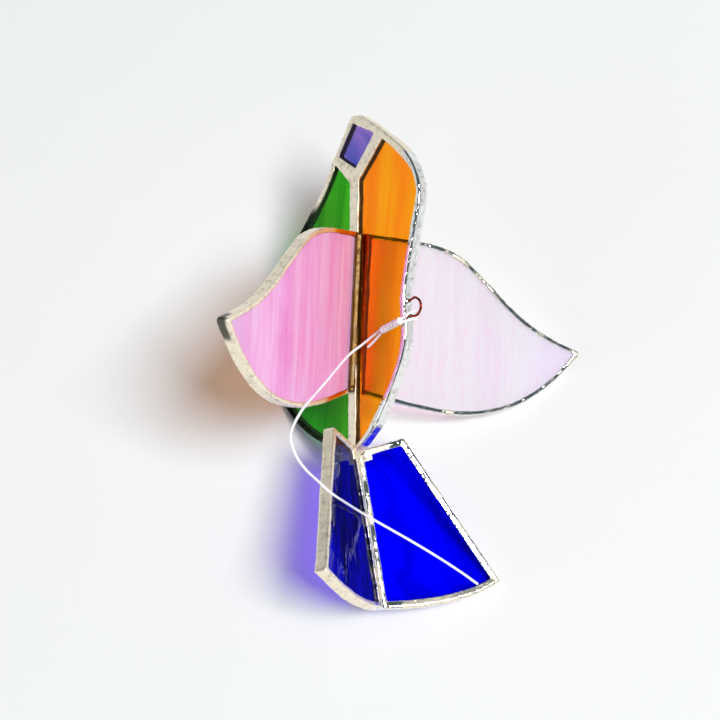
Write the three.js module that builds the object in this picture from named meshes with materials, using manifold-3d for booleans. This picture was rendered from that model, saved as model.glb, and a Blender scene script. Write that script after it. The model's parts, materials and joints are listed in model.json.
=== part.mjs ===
// A stained glass bird suncatcher: seven pieces of cut glass in copper foil and solder.
//
// The body is one flat upright panel of three pieces. A wing is soldered to each of its faces, and
// a tail of two panels meets in a valley behind it. A wire loop on the back takes a nylon line,
// doubled back on itself through three crimp beads. The bird lies at rest on a table, on its right
// wing tip, its belly and the right corner of its tail.
//
// Millimetres. The bird's own frame has +X towards the beak, +Y to the bird's left and +Z to its
// back. The finished part has +Z up and its origin under the middle of the bird, on the table.

import * as THREE from 'three';
import { mergeVertices } from 'three/addons/utils/BufferGeometryUtils.js';
import { ConvexHull } from 'three/addons/math/ConvexHull.js';
import Module from 'manifold-3d';

const wasm = await Module();
wasm.setup();

// ------------------------------------------------------------------ driving dimensions

const GLASS_THICKNESS = 3.0;
const RIM_THICKNESS = 4.4; // solder from face to face of a panel
const EDGE_COVER = 0.9; // foil and solder outside the cut edge of the glass
const RIM_WIDTH = 2.1; // solder seen on the face of a panel, from its outer edge to the glass
const SEAM_OVERLAP = 1.7; // glass hidden under each side of a seam
const FIT_GAP = 0.3; // clearance between neighbouring solids
const EDGE_ROUND = 0.6; // rounding of a rim's outer corners
const BEAD_FLARE = 0.6; // slope of a seam or rim down to the glass
const CURVE_STEP = 3.6; // length of the straight steps along a curved outline

const WING_RISE = 21.8; // degrees above the level of the bird
const WING_HEIGHT = 0.4; // where the wings meet the body, above its middle line
const ROOT_FILLET = 1.4;

const TAIL_RISE = 17.4; // degrees that the tail's valley climbs towards its end
const TAIL_FOLD = 25.5; // degrees that each tail panel climbs from the valley
const TAIL_ROOT = [-49.5, 2.7];
const TAIL_LENGTH = 55.6;
const VALLEY_BEAD_RADIUS = 2.3;

const WIRE_DIAMETER = 0.8;
const LINE_DIAMETER = 0.9;
const LINE_STEPS = 72;
const EYE_STEPS = 14;
const STUB_STEPS = 4;
const LOOP_STEPS = 22;
const CRIMP_COUNT = 3;
const CRIMP_DIAMETER = 2.7;
const CRIMP_LENGTH = 3.2;
const CRIMP_CHAMFER = 0.35;
const CRIMP_SIDES = 12;
const STRAND_OFFSET = 0.6; // of each run of line from the middle of a crimp

const LEANING_DOWN = [-0.34, -0.64, -0.69]; // roughly towards the table, in the bird's frame
const HEADING = 87.3; // degrees from +X to the beak, seen from above the table
const DENSITY = { glass: 2.5, solder: 8.5 };

const FINISH = {
  violet: { color: 0x6a58b8, roughness: 0.08, metalness: 0, transparent: true, opacity: 0.8 },
  orange: { color: 0xff7a00, roughness: 0.06, metalness: 0, transparent: true, opacity: 0.7 },
  green: { color: 0x1f8a1c, roughness: 0.06, metalness: 0, transparent: true, opacity: 0.8 },
  pink: { color: 0xf0a0d0, roughness: 0.1, metalness: 0, transparent: true, opacity: 0.9 },
  lilac: { color: 0xefe4f6, roughness: 0.1, metalness: 0, transparent: true, opacity: 0.9 },
  cobalt: { color: 0x0606c8, roughness: 0.05, metalness: 0, transparent: true, opacity: 0.8 },
  solder: { color: 0xc9c7bf, roughness: 0.25, metalness: 1 },
  copper: { color: 0xa8441f, roughness: 0.3, metalness: 1 },
  crimp: { color: 0xd8d4cc, roughness: 0.25, metalness: 1 },
  nylon: { color: 0xf2eef4, roughness: 0.2, metalness: 0, transparent: true, opacity: 0.6 },
};

// ------------------------------------------------------------------ outlines, in a panel's plane
// An outline is a list of stretches. A stretch of two points is straight, and a longer one is a
// smooth curve through its points. Each stretch starts where the one before it ends.

const BODY_OUTLINE = [
  [[73.2, -5.0], [72.9, 0.5]], // square tip of the beak
  [[72.9, 0.5], [65.0, 14.2], [56.2, 26.0], [43.5, 32.5], [26.5, 30.2], [7.5, 27.3], [-5.5, 29.0],
    [-18.0, 26.3], [-38.5, 15.8], [-49.6, 4.6]], // brow, crown, nape, waist, rump
  [[-49.6, 4.6], [-48.2, -2.0]],
  [[-48.2, -2.0], [-44.5, -17.4], [-35.2, -33.0], [-19.5, -42.6], [0.0, -45.2], [18.0, -40.8],
    [33.0, -30.2], [46.2, -20.0], [57.5, -14.2]], // vent, belly, breast, throat
  [[57.5, -14.2], [73.2, -5.0]],
];

const BEAK_WINDOW = [
  [[70.3, -4.5], [65.4, 7.0]],
  [[65.4, 7.0], [54.2, -1.5]],
  [[54.2, -1.5], [59.3, -10.8]],
  [[59.3, -10.8], [70.3, -4.5]],
];

const BACK_WINDOW = [
  [[62.7, 12.1], [58.4, 18.4], [51.4, 26.4], [43.5, 30.3], [27.3, 27.7], [6.5, 24.6], [-5.0, 26.1],
    [-18.2, 23.9], [-37.4, 12.9], [-45.6, 5.9]],
  [[-45.6, 5.9], [49.1, 1.2]],
  [[49.1, 1.2], [62.7, 12.1]],
];

const BELLY_WINDOW = [
  [[56.0, -13.2], [48.2, -4.4]],
  [[48.2, -4.4], [-45.3, 1.2]],
  [[-45.3, 1.2], [-42.7, -16.8], [-33.9, -31.3], [-18.8, -40.8], [0.0, -43.4], [17.4, -39.2],
    [32.2, -28.7], [45.4, -18.6], [56.0, -13.2]],
];

const WING_OUTLINE = [
  [[30.4, -4.0], [29.8, 12.0], [28.6, 26.5], [24.8, 38.0], [17.0, 48.2], [4.7, 62.9], [-2.2, 75.0],
    [-7.6, 89.2]], // leading edge
  [[-7.6, 89.2], [-20.4, 76.9], [-29.8, 61.3], [-33.6, 42.5], [-31.9, 22.5], [-26.0, -4.0]],
  [[-26.0, -4.0], [30.4, -4.0]],
];
const WING_ROOT_RIM = 2.4; // solder along the wing's root, from the body to the glass
const WING_ROOT_COVER = 1.3;
const WING_LENGTH = 87.8; // from the root to where the pointed tip is cut blunt

const TAIL_OUTLINES = {
  left: [
    [[-1.6, 0.0], [-7.2, 19.2]],
    [[-7.2, 19.2], [44.4, 45.0]],
    [[44.4, 45.0], [49.4, 34.0], [53.0, 23.0], [55.0, 11.5], [TAIL_LENGTH, 0.0]],
    [[TAIL_LENGTH, 0.0], [-1.6, 0.0]],
  ],
  right: [
    [[-0.6, 0.0], [-4.2, 19.2]],
    [[-4.2, 19.2], [51.2, 46.4]],
    [[51.2, 46.4], [54.4, 38.0], [56.3, 26.0], [56.6, 13.0], [TAIL_LENGTH, 0.0]],
    [[TAIL_LENGTH, 0.0], [-0.6, 0.0]],
  ],
};
const TAIL_ROOT_RIM = 2.9; // solder along the valley, from its middle line to the glass
const TAIL_ROOT_COVER = 1.3;

// The wire loop, in the plane of the body.
const LOOP_LEGS = [[5.0, 26.9], [0.2, 27.1]];
const LOOP_DAB_RADIUS = 1.3; // solder around each leg
const LOOP_PATH = [LOOP_LEGS[0], [5.4, 28.2], [6.3, 30.6], [5.1, 33.0], [2.7, 33.7], [0.3, 32.2],
  [-0.1, 29.4], LOOP_LEGS[1]];

// ------------------------------------------------------------------ the line's route
// In the bird's frame. The line starts and ends its eye at the first crimp, and the main run and the
// cut stub leave the last one.

const CRIMP_TOP = [-2.0, 4.1, 28.2]; // middle of the first crimp's upper face
const CRIMP_RISE = [0.322, 0.047, 0.946]; // from the last crimp up to the first

const EYE_ROUTE = [[-0.8, 3.5, 29.4], [0.7, 2.0, 30.2], [1.35, 0.4, 30.6], [1.0, -0.85, 30.8],
  [0.05, -1.3, 30.8], [-0.9, -0.85, 30.7], [-1.2, 0.4, 30.4], [-1.7, 2.0, 30.0], [-2.3, 3.5, 29.6]];

const STUB_ROUTE = [[-8.4, 3.0, 14.8], [-11.0, 2.4, 10.5]];

const LINE_ROUTE = [
  [-6.3, 3.0, 14.8], [-7.9, 2.9, 11.8], [-10.5, 3.5, 7.9], [-13.1, 6.0, 6.0], // over the orange glass
  [-15.6, 9.2, 6.3], [-18.4, 13.0, 7.4], [-24.3, 21.4, 10.6], [-28.1, 27.4, 13.0], // along the wing
  [-31.7, 33.6, 16.1], [-33.5, 36.3, 17.2], [-35.7, 38.2, 17.4], [-40.2, 39.2, 15.4], // past its edge
  [-43.9, 38.2, 13.4], [-47.6, 36.4, 12.8], [-51.2, 34.8, 13.9], [-54.6, 33.4, 16.8],
  [-57.6, 32.1, 20.9], [-59.6, 31.0, 23.3], [-61.4, 29.1, 24.6], [-62.8, 26.1, 23.9], // onto the tail
  [-64.2, 21.7, 22.0], [-67.1, 12.1, 17.4], [-69.5, 4.6, 14.4], [-71.7, -0.8, 14.1], // into its valley
  [-74.8, -6.4, 16.7], [-78.0, -11.7, 20.1], [-83.3, -19.8, 25.8], [-89.0, -27.7, 31.6],
  [-93.1, -32.8, 35.4], // to the rear rim of its right panel
];

// ------------------------------------------------------------------ outline tools

const vec2 = ([x, y]) => new THREE.Vector2(x, y);

/** The corner points of an outline: curved stretches are cut into steps of about CURVE_STEP. */
function tracePoints(stretches) {
  const points = [];
  for (const stretch of stretches) {
    const curve = stretch.length === 2
      ? new THREE.LineCurve(vec2(stretch[0]), vec2(stretch[1]))
      : new THREE.SplineCurve(stretch.map(vec2));
    const steps = stretch.length === 2 ? 1 : Math.ceil(curve.getLength() / CURVE_STEP);
    points.push(...curve.getSpacedPoints(steps).slice(0, -1));
  }
  return THREE.ShapeUtils.isClockWise(points) ? points.reverse() : points;
}

/** The same outline moved outwards by a distance, or inwards by a negative one. */
function offsetOutline(points, distance) {
  const count = points.length;
  return points.map((point, i) => {
    const before = point.clone().sub(points[(i + count - 1) % count]).normalize();
    const after = points[(i + 1) % count].clone().sub(point).normalize();
    const bisector = new THREE.Vector2(before.y + after.y, -before.x - after.x).normalize();
    const mitre = Math.max(0.45, bisector.dot(new THREE.Vector2(before.y, -before.x)));
    return point.clone().addScaledVector(bisector, distance / mitre);
  });
}

// ------------------------------------------------------------------ solids

/** A closed geometry as a solid that can be cut and joined. */
function toSolid(geometry) {
  const bare = geometry.clone();
  bare.deleteAttribute('normal');
  bare.deleteAttribute('uv');
  const merged = mergeVertices(bare, 1e-4);
  const mesh = new wasm.Mesh({
    numProp: 3,
    vertProperties: Float32Array.from(merged.attributes.position.array),
    triVerts: Uint32Array.from(merged.index.array),
  });
  return new wasm.Manifold(mesh);
}

/** The geometry of a solid. */
function toGeometry(solid) {
  const { vertProperties, triVerts } = solid.getMesh();
  const geometry = new THREE.BufferGeometry();
  geometry.setAttribute('position', new THREE.BufferAttribute(vertProperties, 3));
  geometry.setIndex(new THREE.BufferAttribute(triVerts, 1));
  geometry.computeVertexNormals();
  return geometry;
}

/** A flat plate of the given outline, with its middle at z = 0. */
function plate(points, thickness, rounding = 0) {
  const geometry = new THREE.ExtrudeGeometry(new THREE.Shape(points), {
    depth: thickness - 2 * rounding,
    bevelEnabled: rounding > 0,
    bevelThickness: rounding,
    bevelSize: rounding,
    bevelOffset: -rounding,
    bevelSegments: 2,
  });
  return geometry.translate(0, 0, rounding - thickness / 2);
}

/** What is cut out of a panel to show the glass: straight walls that flare out above the glass. */
function windowCutters(points) {
  const reach = 3;
  const flare = () => new THREE.ExtrudeGeometry(new THREE.Shape(points), {
    depth: reach,
    bevelThickness: (RIM_THICKNESS - GLASS_THICKNESS) / 2,
    bevelSize: BEAD_FLARE,
    bevelSegments: 1,
  });
  const above = flare().translate(0, 0, RIM_THICKNESS / 2);
  const below = flare().translate(0, 0, -RIM_THICKNESS / 2 - reach);
  return [plate(points, 2 * RIM_THICKNESS), above, below].map(toSolid);
}

/** The pocket that a piece of glass sits in. */
function glassPocket(glassPoints) {
  return toSolid(plate(offsetOutline(glassPoints, FIT_GAP), GLASS_THICKNESS + 2 * FIT_GAP));
}

const joinAll = (solids) => solids.reduce((sum, next) => sum.add(next));
const cutAll = (solid, cutters) => cutters.reduce((rest, next) => rest.subtract(next), solid);

/** The part of a geometry's solid that lies inside another's. */
const overlap = (first, second) => toSolid(first).intersect(toSolid(second));

/** A box that fills the side of a plane through the x axis, turned by an angle about that axis. */
function halfSpace(angle, offset) {
  const size = 200;
  return new THREE.BoxGeometry(size, size, size).translate(0, offset - size / 2, 0).rotateX(angle);
}

/** A round tube along a smooth path through points. */
function tube(points, diameter, steps, sides = 8) {
  const section = new THREE.Shape();
  section.absarc(0, 0, diameter / 2, 0, 2 * Math.PI);
  return new THREE.ExtrudeGeometry(section, {
    steps,
    curveSegments: sides / 2,
    extrudePath: new THREE.CatmullRomCurve3(points, false, 'centripetal'),
  });
}

/** A named mesh with one of the finishes. */
function piece(name, geometry, finish) {
  const mesh = new THREE.Mesh(geometry, new THREE.MeshStandardMaterial(FINISH[finish]));
  mesh.name = name;
  return mesh;
}

// ------------------------------------------------------------------ the body

const radians = THREE.MathUtils.degToRad;
const bodyPoints = tracePoints(BODY_OUTLINE);

/** Cuts the body's glass: each piece goes under the seams, and stops short of the outer edge. */
function bodyGlass(windowPoints) {
  const cutShape = plate(offsetOutline(windowPoints, SEAM_OVERLAP), GLASS_THICKNESS);
  const within = plate(offsetOutline(bodyPoints, -EDGE_COVER), GLASS_THICKNESS);
  return overlap(cutShape, within);
}

/** The pocket for a piece of the body's glass, all round it. */
function bodyPocket(windowPoints) {
  const thickness = GLASS_THICKNESS + 2 * FIT_GAP;
  const cutShape = plate(offsetOutline(windowPoints, SEAM_OVERLAP + FIT_GAP), thickness);
  const within = plate(offsetOutline(bodyPoints, FIT_GAP - EDGE_COVER), thickness);
  return overlap(cutShape, within);
}

/** The wire of the loop, in the body's plane. */
function loopTube(diameter) {
  const path = LOOP_PATH.map(([x, y]) => new THREE.Vector3(x, y, 0));
  return tube(path, diameter, LOOP_STEPS);
}

function buildBody() {
  const windows = { beak: BEAK_WINDOW, back: BACK_WINDOW, belly: BELLY_WINDOW };
  const finishes = { beak: 'violet', back: 'orange', belly: 'green' };
  const group = new THREE.Group();
  group.rotation.x = Math.PI / 2; // the panel's y axis becomes the bird's height
  const cutters = [toSolid(loopTube(WIRE_DIAMETER + 2 * FIT_GAP))];
  for (const [name, stretches] of Object.entries(windows)) {
    const points = tracePoints(stretches);
    group.add(piece(`${name}_glass`, toGeometry(bodyGlass(points)), finishes[name]));
    cutters.push(...windowCutters(points), bodyPocket(points));
  }
  const dabs = LOOP_LEGS.map(([x, y]) => new THREE.SphereGeometry(LOOP_DAB_RADIUS, 10, 6).translate(x, y, 0));
  const plateAndDabs = joinAll([plate(bodyPoints, RIM_THICKNESS, EDGE_ROUND), ...dabs].map(toSolid));
  const frame = cutAll(plateAndDabs, cutters);
  group.add(piece('body_solder', toGeometry(frame), 'solder'));
  group.add(piece('hanging_loop', loopTube(WIRE_DIAMETER), 'copper'));
  return group;
}

// ------------------------------------------------------------------ the wings

/** A run of solder in the corner between a wing and the body, on the side that z points to. */
function rootFillet(side, z, tilt) {
  const up = Math.sign(z);
  const lean = -side * Math.sin(tilt);
  const height = Math.cos(tilt);
  const corner = new THREE.Vector2((FIT_GAP - z * lean) / height, z);
  const along = corner.clone().add(new THREE.Vector2(ROOT_FILLET, 0));
  const upBody = corner.clone().add(new THREE.Vector2(-lean, height).multiplyScalar(up * ROOT_FILLET));
  const inside = new THREE.Vector2(corner.x + ROOT_FILLET, 0);
  const section = [corner.clone().setY(0), inside, along, upBody, corner];
  const [front, rear] = [WING_OUTLINE[0][0][0] - 1, WING_OUTLINE[1].at(-1)[0] + 1];
  const geometry = new THREE.ExtrudeGeometry(new THREE.Shape(section), {
    depth: front - rear,
    bevelEnabled: false,
  });
  // The section's x becomes the wing's y, its y the wing's z, and the run goes along the wing's x.
  const axes = new THREE.Matrix4().set(0, 0, 1, rear, 1, 0, 0, 0, 0, 1, 0, 0, 0, 0, 0, 1);
  return geometry.applyMatrix4(axes);
}

/** A wing: side is +1 for the bird's left and -1 for its right. */
function buildWing(side) {
  const name = side > 0 ? 'left' : 'right';
  const tilt = radians(WING_RISE);
  const outline = tracePoints(WING_OUTLINE);
  const rootCut = (offset) => toSolid(halfSpace(-side * tilt, offset));
  const glassPoints = offsetOutline(outline, -EDGE_COVER);
  const windowPoints = offsetOutline(outline, -RIM_WIDTH);
  const glass = toSolid(plate(glassPoints, GLASS_THICKNESS)).subtract(rootCut(WING_ROOT_COVER));
  const pocket = glassPocket(glassPoints).subtract(rootCut(WING_ROOT_COVER - FIT_GAP));
  const opening = joinAll(windowCutters(windowPoints)).subtract(rootCut(WING_ROOT_RIM));
  const rim = toSolid(plate(outline, RIM_THICKNESS, EDGE_ROUND));
  const fillets = [1, -1].map((up) => toSolid(rootFillet(side, up * RIM_THICKNESS / 2, tilt)));
  const tipCut = toSolid(halfSpace(Math.PI, -WING_LENGTH));
  const frame = cutAll(joinAll([rim, ...fillets]), [opening, pocket, rootCut(FIT_GAP), tipCut]);

  const group = new THREE.Group();
  group.position.set(0, side * RIM_THICKNESS / 2, WING_HEIGHT);
  group.rotation.x = side > 0 ? tilt : Math.PI - tilt;
  const finish = side > 0 ? 'pink' : 'lilac';
  group.add(piece(`${name}_wing_glass`, toGeometry(glass), finish));
  group.add(piece(`${name}_wing_solder`, toGeometry(frame), 'solder'));
  return group;
}

// ------------------------------------------------------------------ the tail

/** The body's outline as a plate grown by a clearance on every side, placed in the bird's frame. */
function bodySlab(clearance) {
  const slab = plate(offsetOutline(bodyPoints, clearance), RIM_THICKNESS + 2 * clearance);
  return slab.rotateX(Math.PI / 2);
}

/** The two tail panels. Their frame has x along the valley to the rear, y to the left, z down. */
function buildTail() {
  const group = new THREE.Group();
  group.position.set(TAIL_ROOT[0], 0, TAIL_ROOT[1]);
  group.rotation.y = Math.PI + radians(TAIL_RISE);
  group.updateMatrix();
  const fromBird = group.matrix.clone().invert();
  const bodyNotch = (clearance) => toSolid(bodySlab(clearance).applyMatrix4(fromBird));

  const rims = [];
  const cutters = [bodyNotch(FIT_GAP)];
  for (const [name, stretches] of Object.entries(TAIL_OUTLINES)) {
    const fold = radians(TAIL_FOLD);
    const turn = name === 'left' ? -fold : fold - Math.PI;
    const toPanel = new THREE.Matrix4().makeRotationX(-turn);
    const inTail = (solid) => toSolid(toGeometry(solid).rotateX(turn));
    const notch = (clearance) => toSolid(toGeometry(bodyNotch(clearance)).applyMatrix4(toPanel));
    const outline = tracePoints(stretches);
    const rootCut = (offset) => toSolid(halfSpace(0, offset));

    const glassPoints = offsetOutline(outline, -EDGE_COVER);
    const glassCuts = [rootCut(TAIL_ROOT_COVER), notch(EDGE_COVER + FIT_GAP)];
    const glass = cutAll(toSolid(plate(glassPoints, GLASS_THICKNESS)), glassCuts);
    const pocketCuts = [rootCut(TAIL_ROOT_COVER - FIT_GAP), notch(EDGE_COVER)];
    const pocket = cutAll(glassPocket(glassPoints), pocketCuts);
    const opening = joinAll(windowCutters(offsetOutline(outline, -RIM_WIDTH)));
    rims.push(inTail(toSolid(plate(outline, RIM_THICKNESS, EDGE_ROUND))));
    cutters.push(inTail(opening.subtract(rootCut(TAIL_ROOT_RIM))), inTail(pocket));

    const panel = new THREE.Group();
    panel.rotation.x = turn;
    panel.add(piece(`${name}_tail_glass`, toGeometry(glass), 'cobalt'));
    group.add(panel);
  }
  const bead = new THREE.CylinderGeometry(VALLEY_BEAD_RADIUS, VALLEY_BEAD_RADIUS, TAIL_LENGTH, 12);
  bead.rotateZ(Math.PI / 2).translate(TAIL_LENGTH / 2, 0, 0);
  const frame = cutAll(joinAll([toSolid(bead), ...rims]), cutters);
  group.add(piece('tail_solder', toGeometry(frame), 'solder'));
  return group;
}

// ------------------------------------------------------------------ the line and its crimps

/** A crimp: a short barrel with chamfered ends, along the y axis. */
function crimpBarrel() {
  const radius = CRIMP_DIAMETER / 2;
  const half = CRIMP_LENGTH / 2;
  const profile = [[0, -half], [radius - CRIMP_CHAMFER, -half], [radius, CRIMP_CHAMFER - half],
    [radius, half - CRIMP_CHAMFER], [radius - CRIMP_CHAMFER, half], [0, half]];
  return new THREE.LatheGeometry(profile.map(vec2), CRIMP_SIDES);
}

function buildLine() {
  const rise = new THREE.Vector3(...CRIMP_RISE).normalize();
  const forward = new THREE.Vector3(1, 0, 0).addScaledVector(rise, -rise.x).normalize();
  const top = new THREE.Vector3(...CRIMP_TOP);
  const pitch = CRIMP_LENGTH + FIT_GAP;
  const rowLength = CRIMP_COUNT * pitch - FIT_GAP;
  const strandEnd = (along, side) => top.clone().addScaledVector(rise, along)
    .addScaledVector(forward, side * STRAND_OFFSET);
  const route = (points) => points.map((point) => new THREE.Vector3(...point));

  const above = FIT_GAP;
  const below = -rowLength - FIT_GAP;
  const eye = [strandEnd(above, 1), ...route(EYE_ROUTE), strandEnd(above, -1)];
  const stub = [strandEnd(below, -1), ...route(STUB_ROUTE)];
  const main = [strandEnd(below, 1), ...route(LINE_ROUTE)];

  const group = new THREE.Group();
  group.add(piece('nylon_line', tube(main, LINE_DIAMETER, LINE_STEPS), 'nylon'));
  group.add(piece('line_eye', tube(eye, LINE_DIAMETER, EYE_STEPS), 'nylon'));
  group.add(piece('line_stub', tube(stub, LINE_DIAMETER, STUB_STEPS), 'nylon'));
  for (let i = 0; i < CRIMP_COUNT; i += 1) {
    const crimp = piece(`crimp_bead_${i + 1}`, crimpBarrel(), 'crimp');
    crimp.position.copy(top).addScaledVector(rise, -(i * pitch + CRIMP_LENGTH / 2));
    crimp.quaternion.setFromUnitVectors(new THREE.Vector3(0, 1, 0), rise);
    group.add(crimp);
  }
  return group;
}

// ------------------------------------------------------------------ at rest on the table

/** The volume of a mesh's solid and its first moment, in the bird's frame. */
function volumeMoments(mesh) {
  const { position } = mesh.geometry.attributes;
  const index = mesh.geometry.index ?? { count: position.count, getX: (i) => i };
  const corner = (i) => new THREE.Vector3().fromBufferAttribute(position, index.getX(i))
    .applyMatrix4(mesh.matrixWorld);
  const moment = new THREE.Vector3();
  let volume = 0;
  for (let i = 0; i < index.count; i += 3) {
    const [a, b, c] = [corner(i), corner(i + 1), corner(i + 2)];
    const wedge = a.dot(b.clone().cross(c)) / 6;
    volume += wedge;
    moment.addScaledVector(a.add(b).add(c), wedge / 4);
  }
  return { volume, moment };
}

/** Lays the bird on the face of its hull that lies under its centre of mass. */
function layOnTable(bird) {
  bird.updateMatrixWorld(true);
  const points = [];
  const centre = new THREE.Vector3();
  let mass = 0;
  bird.traverse((mesh) => {
    if (!mesh.isMesh) return;
    const { position } = mesh.geometry.attributes;
    for (let i = 0; i < position.count; i += 1) {
      points.push(new THREE.Vector3().fromBufferAttribute(position, i).applyMatrix4(mesh.matrixWorld));
    }
    const { volume, moment } = volumeMoments(mesh);
    const density = mesh.name.endsWith('glass') ? DENSITY.glass : DENSITY.solder;
    mass += volume * density;
    centre.addScaledVector(moment, density);
  });
  centre.divideScalar(mass);

  const down = new THREE.Vector3(...LEANING_DOWN).normalize();
  const distanceTo = ({ normal, constant }) => {
    const closing = normal.dot(down);
    return closing > 0 ? (constant - normal.dot(centre)) / closing : Infinity;
  };
  const { faces } = new ConvexHull().setFromPoints(points);
  const base = faces.reduce((best, face) => (distanceTo(face) < distanceTo(best) ? face : best));

  bird.quaternion.setFromUnitVectors(base.normal, new THREE.Vector3(0, 0, -1));
  const beak = new THREE.Vector3(1, 0, 0).applyQuaternion(bird.quaternion);
  const yaw = radians(HEADING) - Math.atan2(beak.y, beak.x);
  bird.quaternion.premultiply(new THREE.Quaternion().setFromAxisAngle(new THREE.Vector3(0, 0, 1), yaw));

  const box = new THREE.Box3().setFromObject(bird, true);
  const middle = box.getCenter(new THREE.Vector3());
  bird.position.set(-middle.x, -middle.y, -box.min.z);
}

const bird = new THREE.Group();
bird.add(buildBody(), buildWing(1), buildWing(-1), buildTail());
layOnTable(bird);
bird.add(buildLine()); // the loose line carries nothing, so it has no part in how the bird lies

const suncatcher = new THREE.Group();
suncatcher.add(bird);

export default suncatcher;
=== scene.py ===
"""Looks of a stained glass bird suncatcher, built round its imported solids.

The bird lies on a table. Its solder is worked over here: beads with lumps and pits, run together
where the panels meet. Glass gets streaks, mottles and ripples, and the nylon line its real length.
Sizes named with _MM are millimetres, and everything that goes to Blender is in metres.
"""

import json
import logging
import math
from collections.abc import Callable
from dataclasses import dataclass, field
from enum import IntEnum

import bpy
import numpy as np
from mathutils import Euler, Matrix, Vector, noise

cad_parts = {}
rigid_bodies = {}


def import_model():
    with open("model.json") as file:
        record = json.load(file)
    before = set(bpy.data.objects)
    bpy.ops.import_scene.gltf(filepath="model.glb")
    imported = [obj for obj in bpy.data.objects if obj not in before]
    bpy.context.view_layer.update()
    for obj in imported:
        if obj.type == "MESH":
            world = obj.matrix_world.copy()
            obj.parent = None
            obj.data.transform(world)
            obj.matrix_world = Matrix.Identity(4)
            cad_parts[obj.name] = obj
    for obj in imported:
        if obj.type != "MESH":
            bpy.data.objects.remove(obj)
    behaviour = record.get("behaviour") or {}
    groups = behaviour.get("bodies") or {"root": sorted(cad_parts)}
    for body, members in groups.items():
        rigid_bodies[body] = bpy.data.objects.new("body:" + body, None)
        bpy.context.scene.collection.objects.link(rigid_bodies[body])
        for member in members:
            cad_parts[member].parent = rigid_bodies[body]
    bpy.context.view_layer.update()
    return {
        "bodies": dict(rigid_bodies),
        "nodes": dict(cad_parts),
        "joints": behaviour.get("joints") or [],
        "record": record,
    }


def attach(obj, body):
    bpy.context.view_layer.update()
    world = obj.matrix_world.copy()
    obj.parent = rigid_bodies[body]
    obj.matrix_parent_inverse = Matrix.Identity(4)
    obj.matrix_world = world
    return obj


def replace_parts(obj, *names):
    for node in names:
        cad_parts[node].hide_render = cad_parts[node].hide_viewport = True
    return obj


LOG = logging.getLogger("suncatcher")
MM = 0.001
BODY = "root"
WEAR_AND_SHADE = "wear_and_shade"
STEPS_PER_SPAN = 8

Colour = tuple[float, float, float]
Point = tuple[float, float, float]
Masks = tuple[np.ndarray, np.ndarray, np.ndarray]
Faces = list[tuple[int, ...]]
Socket = bpy.types.NodeSocket


# ---------------------------------------------------------------- frames of the bird and its panels


def read_rows(
    items: bpy.types.bpy_prop_collection, key: str, width: int = 3, kind: type = float
) -> np.ndarray:
    """One property of every item of a mesh, as rows.

    Args:
        items: The mesh's points, faces or corners.
        key: The property's name.
        width: How many numbers it has.
        kind: The kind of its numbers.

    Returns:
        The rows.
    """
    values = np.zeros(len(items) * width, dtype=kind)
    items.foreach_get(key, values)
    return values.reshape(-1, width)


def points_of(obj: bpy.types.Object) -> np.ndarray:
    """The vertices of a mesh object, as rows, in metres."""
    return read_rows(obj.data.vertices, "co")


def face_normals(obj: bpy.types.Object) -> tuple[np.ndarray, np.ndarray]:
    """The unit normals and the areas of a mesh's faces."""
    faces = obj.data.polygons
    return read_rows(faces, "normal"), read_rows(faces, "area", 1).ravel()


def broad_normal(obj: bpy.types.Object) -> np.ndarray:
    """The normal of a plate's two broad faces, with its sign left open.

    Args:
        obj: A flat plate.

    Returns:
        A unit vector across the plate.
    """
    normals, areas = face_normals(obj)
    spread = (normals * areas[:, None]).T @ normals
    guess = np.linalg.eigh(spread)[1][:, -1]
    facing = normals @ guess
    broad = np.abs(facing) > 0.99
    mean = (normals * (areas * np.sign(facing))[:, None])[broad].sum(0)
    return mean / np.linalg.norm(mean)


def middle_along(obj: bpy.types.Object, axis: np.ndarray) -> float:
    """Half way between a mesh's lowest and highest reach along an axis."""
    reach = points_of(obj) @ axis
    return float(reach.min() + reach.max()) / 2


def rigid(axes: np.ndarray, origin: np.ndarray) -> Matrix:
    """A matrix from a frame whose axes are the rows given, to the row frame.

    Args:
        axes: The frame's three axes, as rows.
        origin: Its origin, in metres.

    Returns:
        The matrix.
    """
    matrix = Matrix([list(row) for row in np.asarray(axes).T]).to_4x4()
    matrix.translation = Vector(origin)
    return matrix


@dataclass(frozen=True)
class BirdFrame:
    """The bird's own frame: x to the beak, y to its left and z to its back.

    Attributes:
        matrix: From the bird's frame to the row frame, in metres.
    """

    matrix: Matrix

    @classmethod
    def read(cls, nodes: dict[str, bpy.types.Object]) -> "BirdFrame":
        """Finds how the bird lies, from its flat plates.

        Args:
            nodes: The solids of the frame.

        Returns:
            The bird's frame.
        """
        beak_reach = 73.2 * MM
        wing_offset = (2.2 * MM, 0.4 * MM)
        panes = ("back_glass", "left_wing_glass", "beak_glass", "belly_glass")
        back, left_wing, beak, belly = (points_of(nodes[name]).mean(0) for name in panes)
        across = broad_normal(nodes["back_glass"])
        across = across * np.sign(across @ (left_wing - back))
        wing = broad_normal(nodes["left_wing_glass"])
        forward = np.cross(across, wing)
        forward = forward / np.linalg.norm(forward)
        if forward @ (beak - belly) < 0:
            wing, forward = -wing, -forward
        up = np.cross(forward, across)
        wing_level = wing @ (across * wing_offset[0] + up * wing_offset[1])
        planes = np.array([forward, across, wing])
        reaches = [
            (points_of(nodes["body_solder"]) @ forward).max() - beak_reach,
            middle_along(nodes["back_glass"], across),
            middle_along(nodes["left_wing_glass"], wing) - wing_level,
        ]
        return cls(rigid(np.array([forward, across, up]), np.linalg.solve(planes, reaches)))

    def place(self, point_mm: Point) -> Vector:
        """A point of the bird's frame, in millimetres, as a point of the row frame."""
        return self.matrix @ (Vector(point_mm) * MM)


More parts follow.
